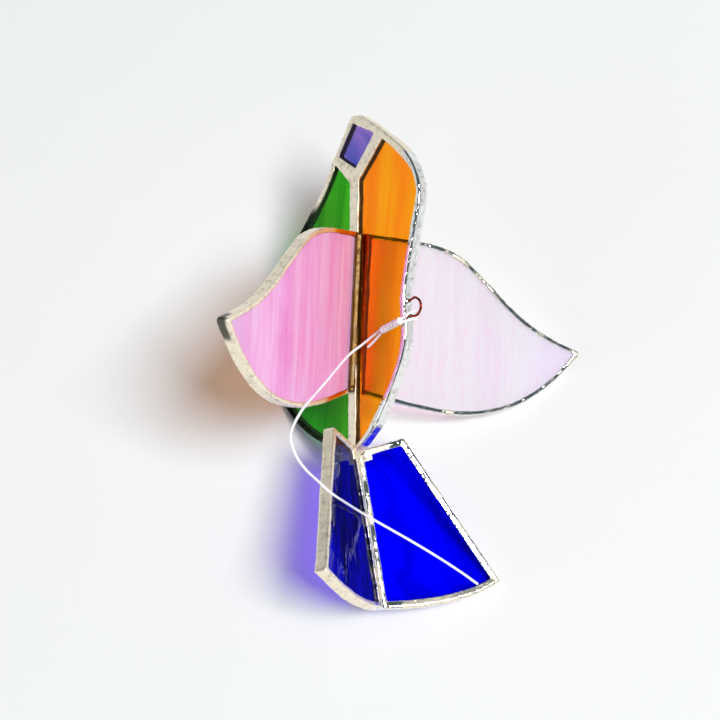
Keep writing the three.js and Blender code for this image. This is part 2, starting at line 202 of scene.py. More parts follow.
@dataclass(frozen=True)
class Panel:
    """A flat panel's frame: x along it, z across its faces, and the origin in its middle plane.

    Attributes:
        matrix: From the panel's frame to the row frame, in metres.
    """

    matrix: Matrix

    def to_local_mm(self, points: np.ndarray) -> np.ndarray:
        """Points of the row frame, in metres, as points of the panel, in millimetres."""
        turn = np.array(self.matrix.to_3x3())
        return (points - np.array(self.matrix.translation)) @ turn / MM

    def to_row(self, points_mm: np.ndarray) -> np.ndarray:
        """Points of the panel, in millimetres, as points of the row frame, in metres."""
        turn = np.array(self.matrix.to_3x3())
        return points_mm * MM @ turn.T + np.array(self.matrix.translation)


# ---------------------------------------------------------------- meshes worked in numpy


@dataclass
class Shell:
    """A closed mesh as arrays: its points in millimetres and its faces as tuples of indices."""

    points: np.ndarray
    faces: Faces

    @classmethod
    def of(cls, obj: bpy.types.Object, panel: Panel) -> "Shell":
        """A solid of the frame, in a panel's frame."""
        faces = [tuple(p.vertices) for p in obj.data.polygons]
        return cls(panel.to_local_mm(points_of(obj)), faces)

    @classmethod
    def joined(cls, shells: list["Shell"]) -> "Shell":
        """Several shells in one, side by side.

        Args:
            shells: The shells.

        Returns:
            All of them as one shell.
        """
        faces: Faces = []
        start = 0
        for shell in shells:
            faces.extend(tuple(i + start for i in face) for face in shell.faces)
            start += len(shell.points)
        return cls(np.concatenate([shell.points for shell in shells]), faces)

    def mesh(self, name: str) -> bpy.types.Mesh:
        """The shell as a Blender mesh, with its numbers as they are.

        Args:
            name: The mesh's name.

        Returns:
            The mesh.
        """
        mesh = bpy.data.meshes.new(name)
        mesh.from_pydata(self.points.tolist(), [], self.faces)
        mesh.update()
        return mesh

    def remeshed(self, step: float) -> "Shell":
        """One closed skin round everything in the shell.

        Args:
            step: The size of its cells, in millimetres.

        Returns:
            The new shell, all of quads.
        """
        temporary = bpy.data.objects.new("temporary", self.mesh("temporary"))
        bpy.context.scene.collection.objects.link(temporary)
        modifier = temporary.modifiers.new("skin", "REMESH")
        modifier.mode = "VOXEL"
        modifier.voxel_size = step
        graph = bpy.context.evaluated_depsgraph_get()
        evaluated = temporary.evaluated_get(graph)
        skin = bpy.data.meshes.new_from_object(evaluated)
        corners = read_rows(skin.loops, "vertex_index", 1, np.int64).ravel()
        totals = read_rows(skin.polygons, "loop_total", 1, np.int64).ravel()
        rows = np.split(corners, np.cumsum(totals)[:-1])
        shell = Shell(read_rows(skin.vertices, "co"), [tuple(row.tolist()) for row in rows])
        mesh = temporary.data
        bpy.data.objects.remove(temporary)
        bpy.data.meshes.remove(mesh)
        bpy.data.meshes.remove(skin)
        return shell

    def edges(self) -> np.ndarray:
        """Each edge once, as a row of two indices.

        Returns:
            The rows.
        """
        pairs = [(face[i - 1], face[i]) for face in self.faces for i in range(len(face))]
        ordered = np.sort(np.array(pairs), axis=1)
        return np.unique(ordered, axis=0)

    def softened(self, rounds: int) -> "Shell":
        """The shell with its corners rubbed down, and hardly any smaller.

        Args:
            rounds: How often it is rubbed.

        Returns:
            The softened shell.
        """
        inward, outward = 0.55, -0.57
        edges = self.edges()
        count = np.bincount(edges.ravel(), minlength=len(self.points))[:, None]
        points = self.points.copy()
        for share in [inward, outward] * rounds:
            total = np.zeros_like(points)
            for axis in range(3):
                for here, there in ((0, 1), (1, 0)):
                    weights = points[edges[:, there], axis]
                    total[:, axis] += np.bincount(edges[:, here], weights, len(points))
            points += share * (total / np.maximum(count, 1) - points)
        return Shell(points, self.faces)

    def normals(self) -> np.ndarray:
        """The unit normal at each point.

        Returns:
            One row for each point.
        """
        mesh = self.mesh("temporary")
        found = read_rows(mesh.vertex_normals, "vector")
        bpy.data.meshes.remove(mesh)
        return found


def sample_noise(points: np.ndarray, size: float, seed: float) -> np.ndarray:
    """Smooth noise from -1 to 1.

    Args:
        points: Rows of coordinates.
        size: The width of a lump, in the same unit.
        seed: Moves the pattern, so that no two uses are alike.

    Returns:
        One value for each point.
    """
    shifted = points / size + seed
    return np.array([noise.noise(Vector(row)) for row in shifted.tolist()])


def face_loop(shell: Shell) -> np.ndarray:
    """The outline of a plate's upper face.

    Args:
        shell: A plate in its panel's frame.

    Returns:
        Its corners in order, anticlockwise, as rows of x and y.
    """
    points = shell.points
    top = points[:, 2].max()
    next_of: dict[int, int] = {}
    keys = {i: tuple(np.round(points[i], 3)) for i in range(len(points))}
    first: dict[tuple[float, ...], int] = {}
    same = {i: first.setdefault(key, i) for i, key in keys.items()}
    directed = set()
    for face in shell.faces:
        if all(points[i, 2] > top - 0.01 for i in face):
            for i in range(len(face)):
                directed.add((same[face[i - 1]], same[face[i]]))
    for here, there in directed:
        if (there, here) not in directed:
            next_of[here] = there
    start = next(iter(next_of))
    loop = [start]
    while next_of[loop[-1]] != start:
        loop.append(next_of[loop[-1]])
    return points[loop, :2]


def grown(loop: np.ndarray, distance: float) -> np.ndarray:
    """An outline moved outwards, or inwards by a negative distance.

    Args:
        loop: The outline, anticlockwise.
        distance: How far it moves.

    Returns:
        The moved outline.
    """
    before = loop - np.roll(loop, 1, axis=0)
    after = np.roll(loop, -1, axis=0) - loop
    before = before / np.linalg.norm(before, axis=1)[:, None]
    after = after / np.linalg.norm(after, axis=1)[:, None]
    outward = np.stack([before[:, 1] + after[:, 1], -before[:, 0] - after[:, 0]], axis=1)
    outward = outward / np.linalg.norm(outward, axis=1)[:, None]
    mitre = outward[:, 0] * before[:, 1] - outward[:, 1] * before[:, 0]
    return loop + outward * (distance / np.maximum(mitre, 0.6))[:, None]


def frame_ring(loop: np.ndarray, outer: float, inner: tuple[float, float], half: float) -> Shell:
    """A flat ring that follows an outline.

    Args:
        loop: The outline, anticlockwise.
        outer: How far the ring reaches outside it.
        inner: How far it reaches inside it, at its foot and at its top.
        half: Half of its thickness.

    Returns:
        The closed ring.
    """
    rims = [grown(loop, outer), grown(loop, -inner[0]), grown(loop, -inner[1])]
    count = len(loop)
    rows = [(rims[0], -half), (rims[0], half), (rims[2], half), (rims[1], -half)]
    points = np.concatenate([np.column_stack([rim, np.full(count, z)]) for rim, z in rows])
    faces = []
    for row in range(4):
        for i in range(count):
            j = (i + 1) % count
            here, there = row * count, (row + 1) % 4 * count
            faces.append((here + i, here + j, there + j, there + i))
    return Shell(points, faces)


def ball(centre: Point, radii: Point) -> Shell:
    """A lump with three radii.

    Args:
        centre: Its middle.
        radii: Its radius along each axis.

    Returns:
        The closed lump.
    """
    around, down = 16, 8
    points = [(0.0, 0.0, 1.0)]
    for row in range(1, down):
        polar = math.pi * row / down
        for i in range(around):
            turn = 2 * math.pi * i / around
            ring = math.sin(polar)
            points.append((ring * math.cos(turn), ring * math.sin(turn), math.cos(polar)))
    points.append((0.0, 0.0, -1.0))
    last = len(points) - 1
    faces: Faces = []
    for i in range(around):
        j = (i + 1) % around
        faces.append((0, 1 + i, 1 + j))
        faces.append((last, last - around + j, last - around + i))
        for row in range(down - 2):
            here = 1 + row * around
            faces.append((here + i, here + around + i, here + around + j, here + j))
    return Shell(np.array(points) * radii + centre, faces)


def rod(start: np.ndarray, end: np.ndarray, radius: float) -> Shell:
    """A straight round rod.

    Args:
        start: The middle of one end.
        end: The middle of the other.
        radius: Its radius.

    Returns:
        The closed rod.
    """
    around = 14
    along = (end - start) / np.linalg.norm(end - start)
    side = np.cross(along, [0.0, 0.0, 1.0])
    side = side / np.linalg.norm(side)
    up = np.cross(side, along)
    turns = [2 * math.pi * i / around for i in range(around)]
    ring = np.array([side * math.cos(t) * radius + up * math.sin(t) * radius for t in turns])
    points = np.concatenate([ring + start, ring + end])
    faces: Faces = [tuple(range(around))[::-1], tuple(range(around, 2 * around))]
    for i in range(around):
        j = (i + 1) % around
        faces.append((i, j, around + j, around + i))
    return Shell(points, faces)


def inside_loop(points: np.ndarray, loop: np.ndarray) -> np.ndarray:
    """Which of the points lie inside an outline.

    Args:
        points: Rows of coordinates.
        loop: The outline.

    Returns:
        True for each point inside it.
    """
    x, y = points[:, 0], points[:, 1]
    inside = np.zeros(len(points), dtype=bool)
    for (x0, y0), (x1, y1) in zip(loop, np.roll(loop, -1, axis=0)):
        crosses = (y0 > y) != (y1 > y)
        height = y1 - y0 if y1 != y0 else 1e-9
        inside ^= crosses & (x < (x1 - x0) * (y - y0) / height + x0)
    return inside


# ---------------------------------------------------------------- node trees


class Tree:
    """A node tree, with short ways to put nodes in it and join them."""

    def __init__(self, tree: bpy.types.NodeTree) -> None:
        """Takes over a tree and empties it.

        Args:
            tree: The tree of a material or of a node group.
        """
        self.tree = tree
        self.tree.nodes.clear()

    def add(self, kind: str, **settings: object) -> bpy.types.Node:
        """A new node, with its properties set.

        Args:
            kind: The node's type.
            **settings: Its properties, by name.

        Returns:
            The node.
        """
        node = self.tree.nodes.new(kind)
        for name, value in settings.items():
            setattr(node, name, value)
        return node

    def feed(self, socket: Socket, value: object) -> None:
        """Joins a socket to another one, or sets its plain value."""
        if isinstance(value, bpy.types.NodeSocket):
            self.tree.links.new(value, socket)
        elif value is not None:
            socket.default_value = value

    def feed_all(self, node: bpy.types.Node, values: dict[str, object]) -> None:
        """Feeds a node's inputs by name."""
        for name, value in values.items():
            self.feed(node.inputs[name], value)

    def math(
        self, operation: str, first: object, second: object = None, clamp: bool = False
    ) -> Socket:
        """A sum of one or two values.

        Args:
            operation: The kind of sum.
            first: The first value.
            second: The second value, where it has one.
            clamp: Whether it stays between 0 and 1.

        Returns:
            The result.
        """
        node = self.add("ShaderNodeMath", operation=operation, use_clamp=clamp)
        self.feed(node.inputs[0], first)
        self.feed(node.inputs[1], second)
        return node.outputs[0]

    def vector(self, operation: str, first: object, second: object) -> Socket:
        """A sum of two vectors.

        Args:
            operation: The kind of sum.
            first: The first vector.
            second: The second.

        Returns:
            The result.
        """
        node = self.add("ShaderNodeVectorMath", operation=operation)
        self.feed(node.inputs[0], first)
        self.feed(node.inputs[1], second)
        return node.outputs[0]

    def ramp(self, value: Socket, low: float, high: float) -> Socket:
        """A value that climbs smoothly from 0 at low to 1 at high.

        Args:
            value: The value that it follows.
            low: Where it starts.
            high: Where it ends.

        Returns:
            The result.
        """
        node = self.add("ShaderNodeMapRange", interpolation_type="SMOOTHSTEP")
        for socket, number in zip(node.inputs, (value, low, high, 0.0, 1.0)):
            self.feed(socket, number)
        return node.outputs[0]

    def mix(self, share: object, first: object, second: object) -> Socket:
        """Two colours mixed.

        Args:
            share: How much of the second it has.
            first: The first colour.
            second: The second.

        Returns:
            The mixed colour.
        """
        node = self.add("ShaderNodeMix", data_type="RGBA")
        self.feed(node.inputs[0], share)
        self.feed(node.inputs[6], as_rgba(first))
        self.feed(node.inputs[7], as_rgba(second))
        return node.outputs[2]

    def noise(self, vector: Socket, scale: float, detail: float = 2.0, warp: float = 0.0) -> Socket:
        """Smooth noise about 0.5.

        Args:
            vector: Where it is taken.
            scale: How fine it is.
            detail: How many finer layers it has.
            warp: How much it is distorted.

        Returns:
            The value.
        """
        node = self.add("ShaderNodeTexNoise")
        values = {"Vector": vector, "Scale": scale, "Detail": detail, "Distortion": warp}
        self.feed_all(node, values)
        return node.outputs[0]

    def cells(self, vector: Socket, scale: float) -> Socket:
        """Distance to the nearest of many scattered points.

        Args:
            vector: Where it is taken.
            scale: How close together they are.

        Returns:
            The distance.
        """
        node = self.add("ShaderNodeTexVoronoi")
        self.feed_all(node, {"Vector": vector, "Scale": scale})
        return node.outputs["Distance"]

    def stretched(self, vector: Socket, shares: Point, shift: float = 0.0) -> Socket:
        """A vector scaled along each axis, and moved.

        Args:
            vector: The vector.
            shares: Its scale along each axis.
            shift: How far it moves along all three.

        Returns:
            The result.
        """
        node = self.add("ShaderNodeMapping")
        place = (shift, shift, shift)
        self.feed_all(node, {"Vector": vector, "Scale": shares, "Location": place})
        return node.outputs[0]

    def millimetres(self, frame: Matrix | None = None) -> Socket:
        """Coordinates in a frame of the object, in millimetres.

        Args:
            frame: From the frame wanted to the row frame, or None for the row frame itself.

        Returns:
            The coordinates.
        """
        frame = frame or Matrix.Identity(4)
        coordinates = self.add("ShaderNodeTexCoord")
        node = self.add("ShaderNodeMapping", vector_type="TEXTURE")
        values = {
            "Vector": coordinates.outputs["Object"],
            "Location": tuple(frame.translation),
            "Rotation": tuple(frame.to_euler()),
            "Scale": (MM, MM, MM),
        }
        self.feed_all(node, values)
        return node.outputs[0]

    def bump(self, height: Socket, strength: float, distance: float) -> Socket:
        """A bump normal from a height.

        Args:
            height: The height, about 0 to 1.
            strength: How much of it shows.
            distance: What a height of 1 stands for, in metres.

        Returns:
            The normal.
        """
        node = self.add("ShaderNodeBump")
        self.feed_all(node, {"Strength": strength, "Distance": distance, "Height": height})
        return node.outputs[0]


def as_rgba(value: object) -> object:
    """A colour of three numbers with its alpha added, and anything else as it is."""
    return (*value, 1.0) if isinstance(value, tuple) and len(value) == 3 else value


def srgb(red: int, green: int, blue: int) -> Colour:
    """A display colour of 0 to 255 as linear light."""
    shares = [value / 255 for value in (red, green, blue)]
    return tuple(s / 12.92 if s <= 0.04045 else ((s + 0.055) / 1.055) ** 2.4 for s in shares)


class GroupBuilder:
    """A shader node group in the making: its named inputs and outputs, and its tree."""

    def __init__(self, name: str) -> None:
        """Starts an empty group.

        Args:
            name: What the group is called.
        """
        self.group = bpy.data.node_groups.new(name, "ShaderNodeTree")
        self.tree = Tree(self.group)
        self.entry = self.tree.add("NodeGroupInput")
        self.exit = self.tree.add("NodeGroupOutput")

    def new_socket(self, name: str, way: str, kind: str) -> bpy.types.NodeTreeInterfaceSocket:
        """A new input or output of the group."""
        return self.group.interface.new_socket(name, in_out=way, socket_type=kind)

    def value_in(self, name: str, value: float) -> Socket:
        """A new number that the group takes."""
        self.new_socket(name, "INPUT", "NodeSocketFloat").default_value = value
        return self.entry.outputs[name]

    def vector_in(self, name: str) -> Socket:
        """A new vector that the group takes."""
        self.new_socket(name, "INPUT", "NodeSocketVector")
        return self.entry.outputs[name]

    def value_out(self, name: str, value: Socket) -> None:
        """A new number that the group gives."""
        self.new_socket(name, "OUTPUT", "NodeSocketFloat")
        self.tree.feed(self.exit.inputs[name], value)


def placed(tree: Tree, group: bpy.types.NodeTree, **values: object) -> bpy.types.Node:
    """A group put into a tree, with its inputs fed by name.

    Args:
        tree: The tree.
        group: The group.
        **values: What its inputs are fed.

    Returns:
        The group's node.
    """
    node = tree.add("ShaderNodeGroup", node_tree=group)
    tree.feed_all(node, values)
    return node


class Effects:
    """The effects that several finishes share, as node groups."""

    def __init__(self) -> None:
        """Builds each group once."""
        self.streaks = self.build_streaks()
        self.seeds = self.build_seeds()
        self.lumps = self.build_lumps()

    @staticmethod
    def build_streaks() -> bpy.types.NodeTree:
        """Lengthwise streaks of drawn glass, broad and fine.

        Returns:
            A group from millimetres along a panel to two masks about 0.5.
        """
        builder = GroupBuilder("glass_streaks")
        tree = builder.tree
        position = builder.vector_in("Position")
        waviness = builder.value_in("Waviness", 1.0)
        broad_grain, fine_grain = (0.012, 0.11, 0.05), (0.03, 0.55, 0.1)
        sway = tree.noise(tree.stretched(position, (0.03, 0.03, 0.03)), 1.0)
        sway = tree.math("MULTIPLY", tree.math("SUBTRACT", sway, 0.5), waviness)
        offset = tree.add("ShaderNodeCombineXYZ")
        tree.feed(offset.inputs[1], tree.math("MULTIPLY", sway, 24.0))
        bent = tree.vector("ADD", position, offset.outputs[0])
        broad = tree.noise(tree.stretched(bent, broad_grain), 1.0, detail=3.0, warp=0.3)
        fine = tree.noise(tree.stretched(bent, fine_grain, 7.0), 1.0, detail=3.0, warp=0.4)
        builder.value_out("Broad", tree.ramp(broad, 0.3, 0.7))
        builder.value_out("Fine", tree.ramp(fine, 0.3, 0.7))
        return builder.group

    @staticmethod
    def build_seeds() -> bpy.types.NodeTree:
        """Small scattered bubbles in glass.

        Returns:
            A group from millimetres to a mask that is 1 in a bubble, and one of its rim.
        """
        builder = GroupBuilder("glass_seeds")
        tree = builder.tree
        position = builder.vector_in("Position")
        spacing = builder.value_in("Per mm", 0.18)
        radius = builder.value_in("Radius", 0.06)
        scaled = tree.vector("SCALE", position, (0.0, 0.0, 0.0))
        tree.feed(scaled.node.inputs["Scale"], spacing)
        distance = tree.cells(scaled, 1.0)
        share = tree.math("DIVIDE", distance, radius)
        inside = tree.math("SUBTRACT", 1.0, tree.ramp(share, 0.7, 1.0))
        core = tree.math("SUBTRACT", 1.0, tree.ramp(share, 0.35, 0.7))
        builder.value_out("Bubble", inside)
        builder.value_out("Rim", tree.math("SUBTRACT", inside, core))
        return builder.group

    @staticmethod
    def build_lumps() -> bpy.types.NodeTree:
        """Mottles, fine grain and small pits of hand run solder.

        Returns:
            A group from millimetres to three masks and a height.
        """
        builder = GroupBuilder("solder_patina")
        tree = builder.tree
        position = builder.vector_in("Position")
        pit_share = builder.value_in("Pits", 0.5)
        patches = tree.ramp(tree.noise(position, 0.14, detail=3.0, warp=0.6), 0.38, 0.66)
        grain = tree.ramp(tree.noise(position, 1.1, detail=4.0), 0.3, 0.7)
        pits = tree.math("SUBTRACT", 1.0, tree.ramp(tree.cells(position, 0.8), 0.06, 0.2))
        where = tree.ramp(tree.noise(position, 0.3, detail=1.0), 0.42, 0.6)
        pits = tree.math("MULTIPLY", tree.math("MULTIPLY", pits, where), pit_share)
        height = tree.math("SUBTRACT", tree.math("MULTIPLY", grain, 0.35), pits)
        masks = {"Patches": patches, "Grain": grain, "Pits": pits, "Height": height}
        for name, value in masks.items():
            builder.value_out(name, value)
        return builder.group


# ---------------------------------------------------------------- finishes


def new_material(name: str) -> tuple[bpy.types.Material, Tree, bpy.types.Node, bpy.types.Node]:
    """An empty material, its tree, its Principled shader and its output.

    Args:
        name: What the material is called.

    Returns:
        The four of them.
    """
    material = bpy.data.materials.new(name)
    material.use_nodes = True
    tree = Tree(material.node_tree)
    output = tree.add("ShaderNodeOutputMaterial")
    shader = tree.add("ShaderNodeBsdfPrincipled")
    tree.feed(output.inputs["Surface"], shader.outputs[0])
    return material, tree, shader, output


@dataclass(frozen=True)
class ClearGlass:
    """Coloured glass that is seen through, with lengthwise streaks and a few seeds.

    Attributes:
        name: What the material is called.
        light: Its colour in the light streaks.
        dark: Its colour in the dark streaks.
        fine: How much the fine streaks show.
        waviness: How much the streaks sway.
        shortness: How many times shorter and finer the streaks are than drawn ones.
        ripple_mm: The height of its surface ripples.
        tint_of_light: The colour of the light that falls through it.
    """

    name: str
    light: Colour
    dark: Colour
    fine: float
    waviness: float
    ripple_mm: float
    tint_of_light: Colour
    shortness: float = 1.0

    def make(self, effects: Effects, frame: Matrix) -> bpy.types.Material:
        """Builds the material.

        Args:
            effects: The shared effects.
            frame: The frame whose x axis the streaks follow.

        Returns:
            The material.
        """
        material, tree, shader, output = new_material(self.name)
        position = tree.millimetres(frame)
        shares = (4.0 * self.shortness - 3.0, self.shortness, self.shortness)
        along = tree.stretched(position, shares)
        streaks = placed(tree, effects.streaks, Position=along, Waviness=self.waviness)
        broad, fine = streaks.outputs["Broad"], streaks.outputs["Fine"]
        share = tree.math("MULTIPLY", tree.math("SUBTRACT", fine, 0.5), self.fine)
        share = tree.math("ADD", broad, share, clamp=True)
        seeds = placed(tree, effects.seeds, Position=position)
        ripples = tree.noise(tree.stretched(position, (0.12, 0.3, 0.1)), 1.0, detail=2.0, warp=0.5)
        height = tree.math("ADD", ripples, tree.math("MULTIPLY", seeds.outputs["Rim"], 0.3))
        values = {
            "Base Color": tree.mix(share, self.dark, self.light),
            "Normal": tree.bump(height, 1.0, self.ripple_mm * MM),
            "Roughness": 0.03,
            "IOR": 1.45,
            "Specular IOR Level": 0.3,
            "Specular Tint": as_rgba(self.light),
            "Transmission Weight": 1.0,
        }
        tree.feed_all(shader, values)
        let_light_through(tree, shader, output, self.tint_of_light)
        return material


def let_light_through(
    tree: Tree, shader: bpy.types.Node, output: bpy.types.Node, tint: Colour
) -> None:
    """Makes the lamps' light fall through a glass, in its colour.

    Args:
        tree: The material's tree.
        shader: Its Principled shader.
        output: Its output.
        tint: The colour of the light at one of the two faces it passes.
    """
    path = tree.add("ShaderNodeLightPath")
    window = tree.add("ShaderNodeBsdfTransparent")
    tree.feed(window.inputs[0], as_rgba(tint))
    mixed = tree.add("ShaderNodeMixShader")
    tree.feed(mixed.inputs[0], path.outputs["Is Shadow Ray"])
    tree.feed(mixed.inputs[1], shader.outputs[0])
    tree.feed(mixed.inputs[2], window.outputs[0])
    tree.feed(output.inputs["Surface"], mixed.outputs[0])


@dataclass(frozen=True)
class OpalGlass:
    """Milky glass with streaks, mottles and specks, which hardly shows what lies behind it.

    Attributes:
        name: What the material is called.
        pale: Its palest colour.
        main: Its usual colour.
        deep: The colour of its deepest streaks.
        speck: The colour of its specks.
        speck_share: How many specks it has.
        clearness: The share of light that passes straight through.
        waviness: How much its streaks sway.
        tint_of_light: The colour of the light that falls through it.
        edge: Its colour at its root and at its tip.
        root_mm: How far from its root that colour reaches.
        tip_mm: How far out it starts again.
    """

    name: str
    pale: Colour
    main: Colour
    deep: Colour
    speck: Colour
    speck_share: float
    clearness: float
    waviness: float
    tint_of_light: Colour
    edge: Colour
    root_mm: float
    tip_mm: float

    def make(self, effects: Effects, frame: Matrix) -> bpy.types.Material:
        """Builds the material.

        Args:
            effects: The shared effects.
            frame: The frame whose x axis the streaks follow.

        Returns:
            The material.
        """
        material, tree, shader, output = new_material(self.name)
        position = tree.millimetres(frame)
        streaks = placed(tree, effects.streaks, Position=position, Waviness=self.waviness)
        colour = tree.mix(streaks.outputs["Broad"], self.main, self.pale)
        deep = tree.ramp(streaks.outputs["Fine"], 0.5, 0.95)
        colour = tree.mix(tree.math("MULTIPLY", deep, 0.45), colour, self.deep)
        split = tree.add("ShaderNodeSeparateXYZ")
        tree.feed(split.inputs[0], position)
        near = tree.math("SUBTRACT", 1.0, tree.ramp(split.outputs[1], 2.0, self.root_mm))
        far = tree.ramp(split.outputs[1], self.tip_mm, self.tip_mm + 30.0)
        tinged = tree.math("MULTIPLY", tree.math("MAXIMUM", near, far), 0.75)
        colour = tree.mix(tinged, colour, self.edge)
        mottle = tree.ramp(tree.noise(position, 0.32, detail=4.0, warp=0.8), 0.56, 0.7)
        colour = tree.mix(tree.math("MULTIPLY", mottle, self.speck_share), colour, self.speck)
        specks = tree.math("SUBTRACT", 1.0, tree.ramp(tree.cells(position, 0.45), 0.08, 0.2))
        colour = tree.mix(tree.math("MULTIPLY", specks, self.speck_share), colour, self.speck)
        ripples = tree.noise(tree.stretched(position, (0.1, 0.22, 0.1)), 1.0, detail=2.0)
        values = {
            "Base Color": colour,
            "Normal": tree.bump(ripples, 1.0, 0.05 * MM),
            "Roughness": 0.12,
            "IOR": 1.5,
            "Transmission Weight": self.clearness,
        }
        tree.feed_all(shader, values)
        let_light_through(tree, shader, output, self.tint_of_light)
        return material


@dataclass(frozen=True)
class SolderFinish:
    """Tinned solder, whose mesh says where it is matt, dark or bare copper, and where shade is
    painted on it.

    Attributes:
        name: What the material is called.
        bright: Its colour where it is bright.
        matt: Its colour where it has grown matt.
        stain: The colour of its stains.
        copper: The colour of the foil under it.
        dark: The colour of tarnish in its pits, of the foil against the glass, which is partly
            painted shade, of the darker patch at a wing's tip, and of the painted shade at the wing
            roots and on the belly rim.
    """

    name: str = "solder"
    bright: Colour = srgb(240, 241, 240)
    matt: Colour = srgb(250, 238, 216)
    stain: Colour = srgb(178, 164, 140)
    copper: Colour = srgb(222, 148, 56)
    # Near black, tinted green as a painted reflection of the green glass on the belly rim.
    dark: Colour = srgb(24, 36, 24)

    def make(self, effects: Effects) -> bpy.types.Material:
        """Builds the material.

        Args:
            effects: The shared effects.

        Returns:
            The material.
        """
        material, tree, shader, _ = new_material(self.name)
        position = tree.millimetres()
        patina = placed(tree, effects.lumps, Position=position, Pits=1.0)
        patches, grain, pits = (patina.outputs[n] for n in ("Patches", "Grain", "Pits"))
        # The painted channels: matt wear, dark (the foil against the glass with painted shade, and
        # painted shade at the wing roots and belly rim) and bare copper.
        painted = tree.add("ShaderNodeAttribute", attribute_name=WEAR_AND_SHADE)
        masks = tree.add("ShaderNodeSeparateColor")
        tree.feed(masks.inputs[0], painted.outputs["Color"])
        worn, dark, foil = (masks.outputs[i] for i in range(3))
        loose = tree.math("MULTIPLY", tree.math("SUBTRACT", patches, 0.5), 0.5)
        matt = tree.ramp(tree.math("ADD", worn, loose), 0.2, 0.7)
        bare = tree.math("ADD", foil, tree.math("MULTIPLY", loose, 0.8))
        bare = tree.math("MULTIPLY", tree.ramp(bare, 0.3, 0.6), tree.ramp(foil, 0.02, 0.2))
        colour = tree.mix(matt, self.bright, self.matt)
        stains = tree.ramp(tree.noise(position, 0.5, detail=4.0, warp=0.6), 0.5, 0.72)
        colour = tree.mix(tree.math("MULTIPLY", stains, 0.6), colour, self.stain)
        colour = tree.mix(bare, colour, self.copper)
        colour = tree.mix(tree.math("MULTIPLY", pits, 0.85), colour, self.dark)
        rough = tree.math("MULTIPLY", matt, 0.26)
        rough = tree.math("ADD", rough, tree.math("MULTIPLY", grain, 0.1))
        roughest = tree.math("ADD", tree.math("MULTIPLY", matt, 0.85), 0.12)
        height = tree.math("MULTIPLY", patina.outputs["Height"], roughest)
        # Base Color takes the dark colour where the dark channel paints shade.
        values = {
            "Base Color": tree.mix(dark, colour, self.dark),
            "Roughness": tree.math("ADD", rough, 0.05),
            "Metallic": tree.math("SUBTRACT", 1.0, tree.math("MULTIPLY", matt, 0.2)),
            "Normal": tree.bump(height, 1.0, 0.12 * MM),
        }
        tree.feed_all(shader, values)
        return material


@dataclass(frozen=True)
class WireMetal:
    """A worked metal with dents, and patches of tarnish.

    Attributes:
        name: What the material is called.
        bright: Its usual colour.
        tarnish: Its colour where it has tarnished.
        tarnish_share: How much of it has.
        roughness: Its lowest roughness.
        metal: How metallic it is.
    """

    name: str
    bright: Colour
    tarnish: Colour
    tarnish_share: float
    roughness: float
    metal: float = 1.0

    def make(self, effects: Effects) -> bpy.types.Material:
        """Builds the material.

        Args:
            effects: The shared effects.

        Returns:
            The material.
        """
        material, tree, shader, _ = new_material(self.name)
        position = tree.millimetres()
        patina = placed(tree, effects.lumps, Position=position, Pits=0.3)
        stain = tree.ramp(tree.noise(position, 0.9, detail=3.0, warp=0.5), 0.4, 0.62)
        stain = tree.math("MULTIPLY", stain, self.tarnish_share)
        rough = tree.math("MULTIPLY", patina.outputs["Grain"], 0.18)
        values = {
            "Base Color": tree.mix(stain, self.bright, self.tarnish),
            "Roughness": tree.math("ADD", rough, self.roughness),
            "Metallic": self.metal,
            "Normal": tree.bump(patina.outputs["Height"], 0.5, 0.08 * MM),
        }
        tree.feed_all(shader, values)
        return material


@dataclass(frozen=True)
class NylonFinish:
    """Clear fishing line, glossy and a little milky, with faint scuffs; its white colour and low
    clearness also paint its white sheen.
    """

    name: str = "clear_nylon"
    # White colour: partly the line's own milkiness, partly painted sheen.
    colour: Colour = (0.97, 0.97, 0.98)
    scuffed: Colour = (0.88, 0.89, 0.93)
    clearness: float = 0.3

    def make(self, effects: Effects) -> bpy.types.Material:
        """Builds the material.

        Args:
            effects: The shared effects.

        Returns:
            The material.
        """
        material, tree, shader, output = new_material(self.name)
        position = tree.millimetres()
        patina = placed(tree, effects.lumps, Position=position, Pits=0.0)
        rough = tree.math("MULTIPLY", patina.outputs["Grain"], 0.12)
        values = {
            "Base Color": tree.mix(patina.outputs["Patches"], self.colour, self.scuffed),
            "Roughness": tree.math("ADD", rough, 0.06),
            "IOR": 1.53,
            "Transmission Weight": self.clearness,
            "Normal": tree.bump(patina.outputs["Grain"], 0.4, 0.03 * MM),
        }
        tree.feed_all(shader, values)
        let_light_through(tree, shader, output, (0.85, 0.87, 0.9))
        return material


@dataclass(frozen=True)
class TableFinish:
    """A plain, pale, matt table top."""

    name: str = "pale_table"
    colour: Colour = (0.83, 0.83, 0.83)

    def make(self) -> bpy.types.Material:
        """Builds the material.

        Returns:
            The material.
        """
        material, tree, shader, _ = new_material(self.name)
        colour = as_rgba(self.colour)
        values = {"Base Color": colour, "Roughness": 0.8, "Specular IOR Level": 0.2}
        tree.feed_all(shader, values)
        return material


# ---------------------------------------------------------------- pieces


def add_piece(
    name: str, node: str, shell: Shell, panel: Panel, material: bpy.types.Material
) -> bpy.types.Object:
    """Puts a finished piece in the place of a solid, on the object's one body.

    Args:
        name: What the piece is called.
        node: The solid that it stands for.
        shell: Its shape, in its panel's frame.
        panel: That frame.
        material: Its material.

    Returns:
        The piece.
    """
    mesh = Shell(panel.to_row(shell.points), shell.faces).mesh(name)
    mesh.shade_smooth()
    piece = bpy.data.objects.new(name, mesh)
    bpy.context.scene.collection.objects.link(piece)
    mesh.materials.append(material)
    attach(piece, BODY)
    LOG.info("%s: %d faces, for %s", name, len(mesh.polygons), node)
    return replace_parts(piece, node)


def dress(nodes: dict[str, bpy.types.Object], name: str, material: bpy.types.Material) -> None:
    """Gives a solid of the frame a material of its own."""
    for slot in nodes[name].material_slots:
        slot.material = material
    LOG.info("dressed %s with %s", name, material.name)


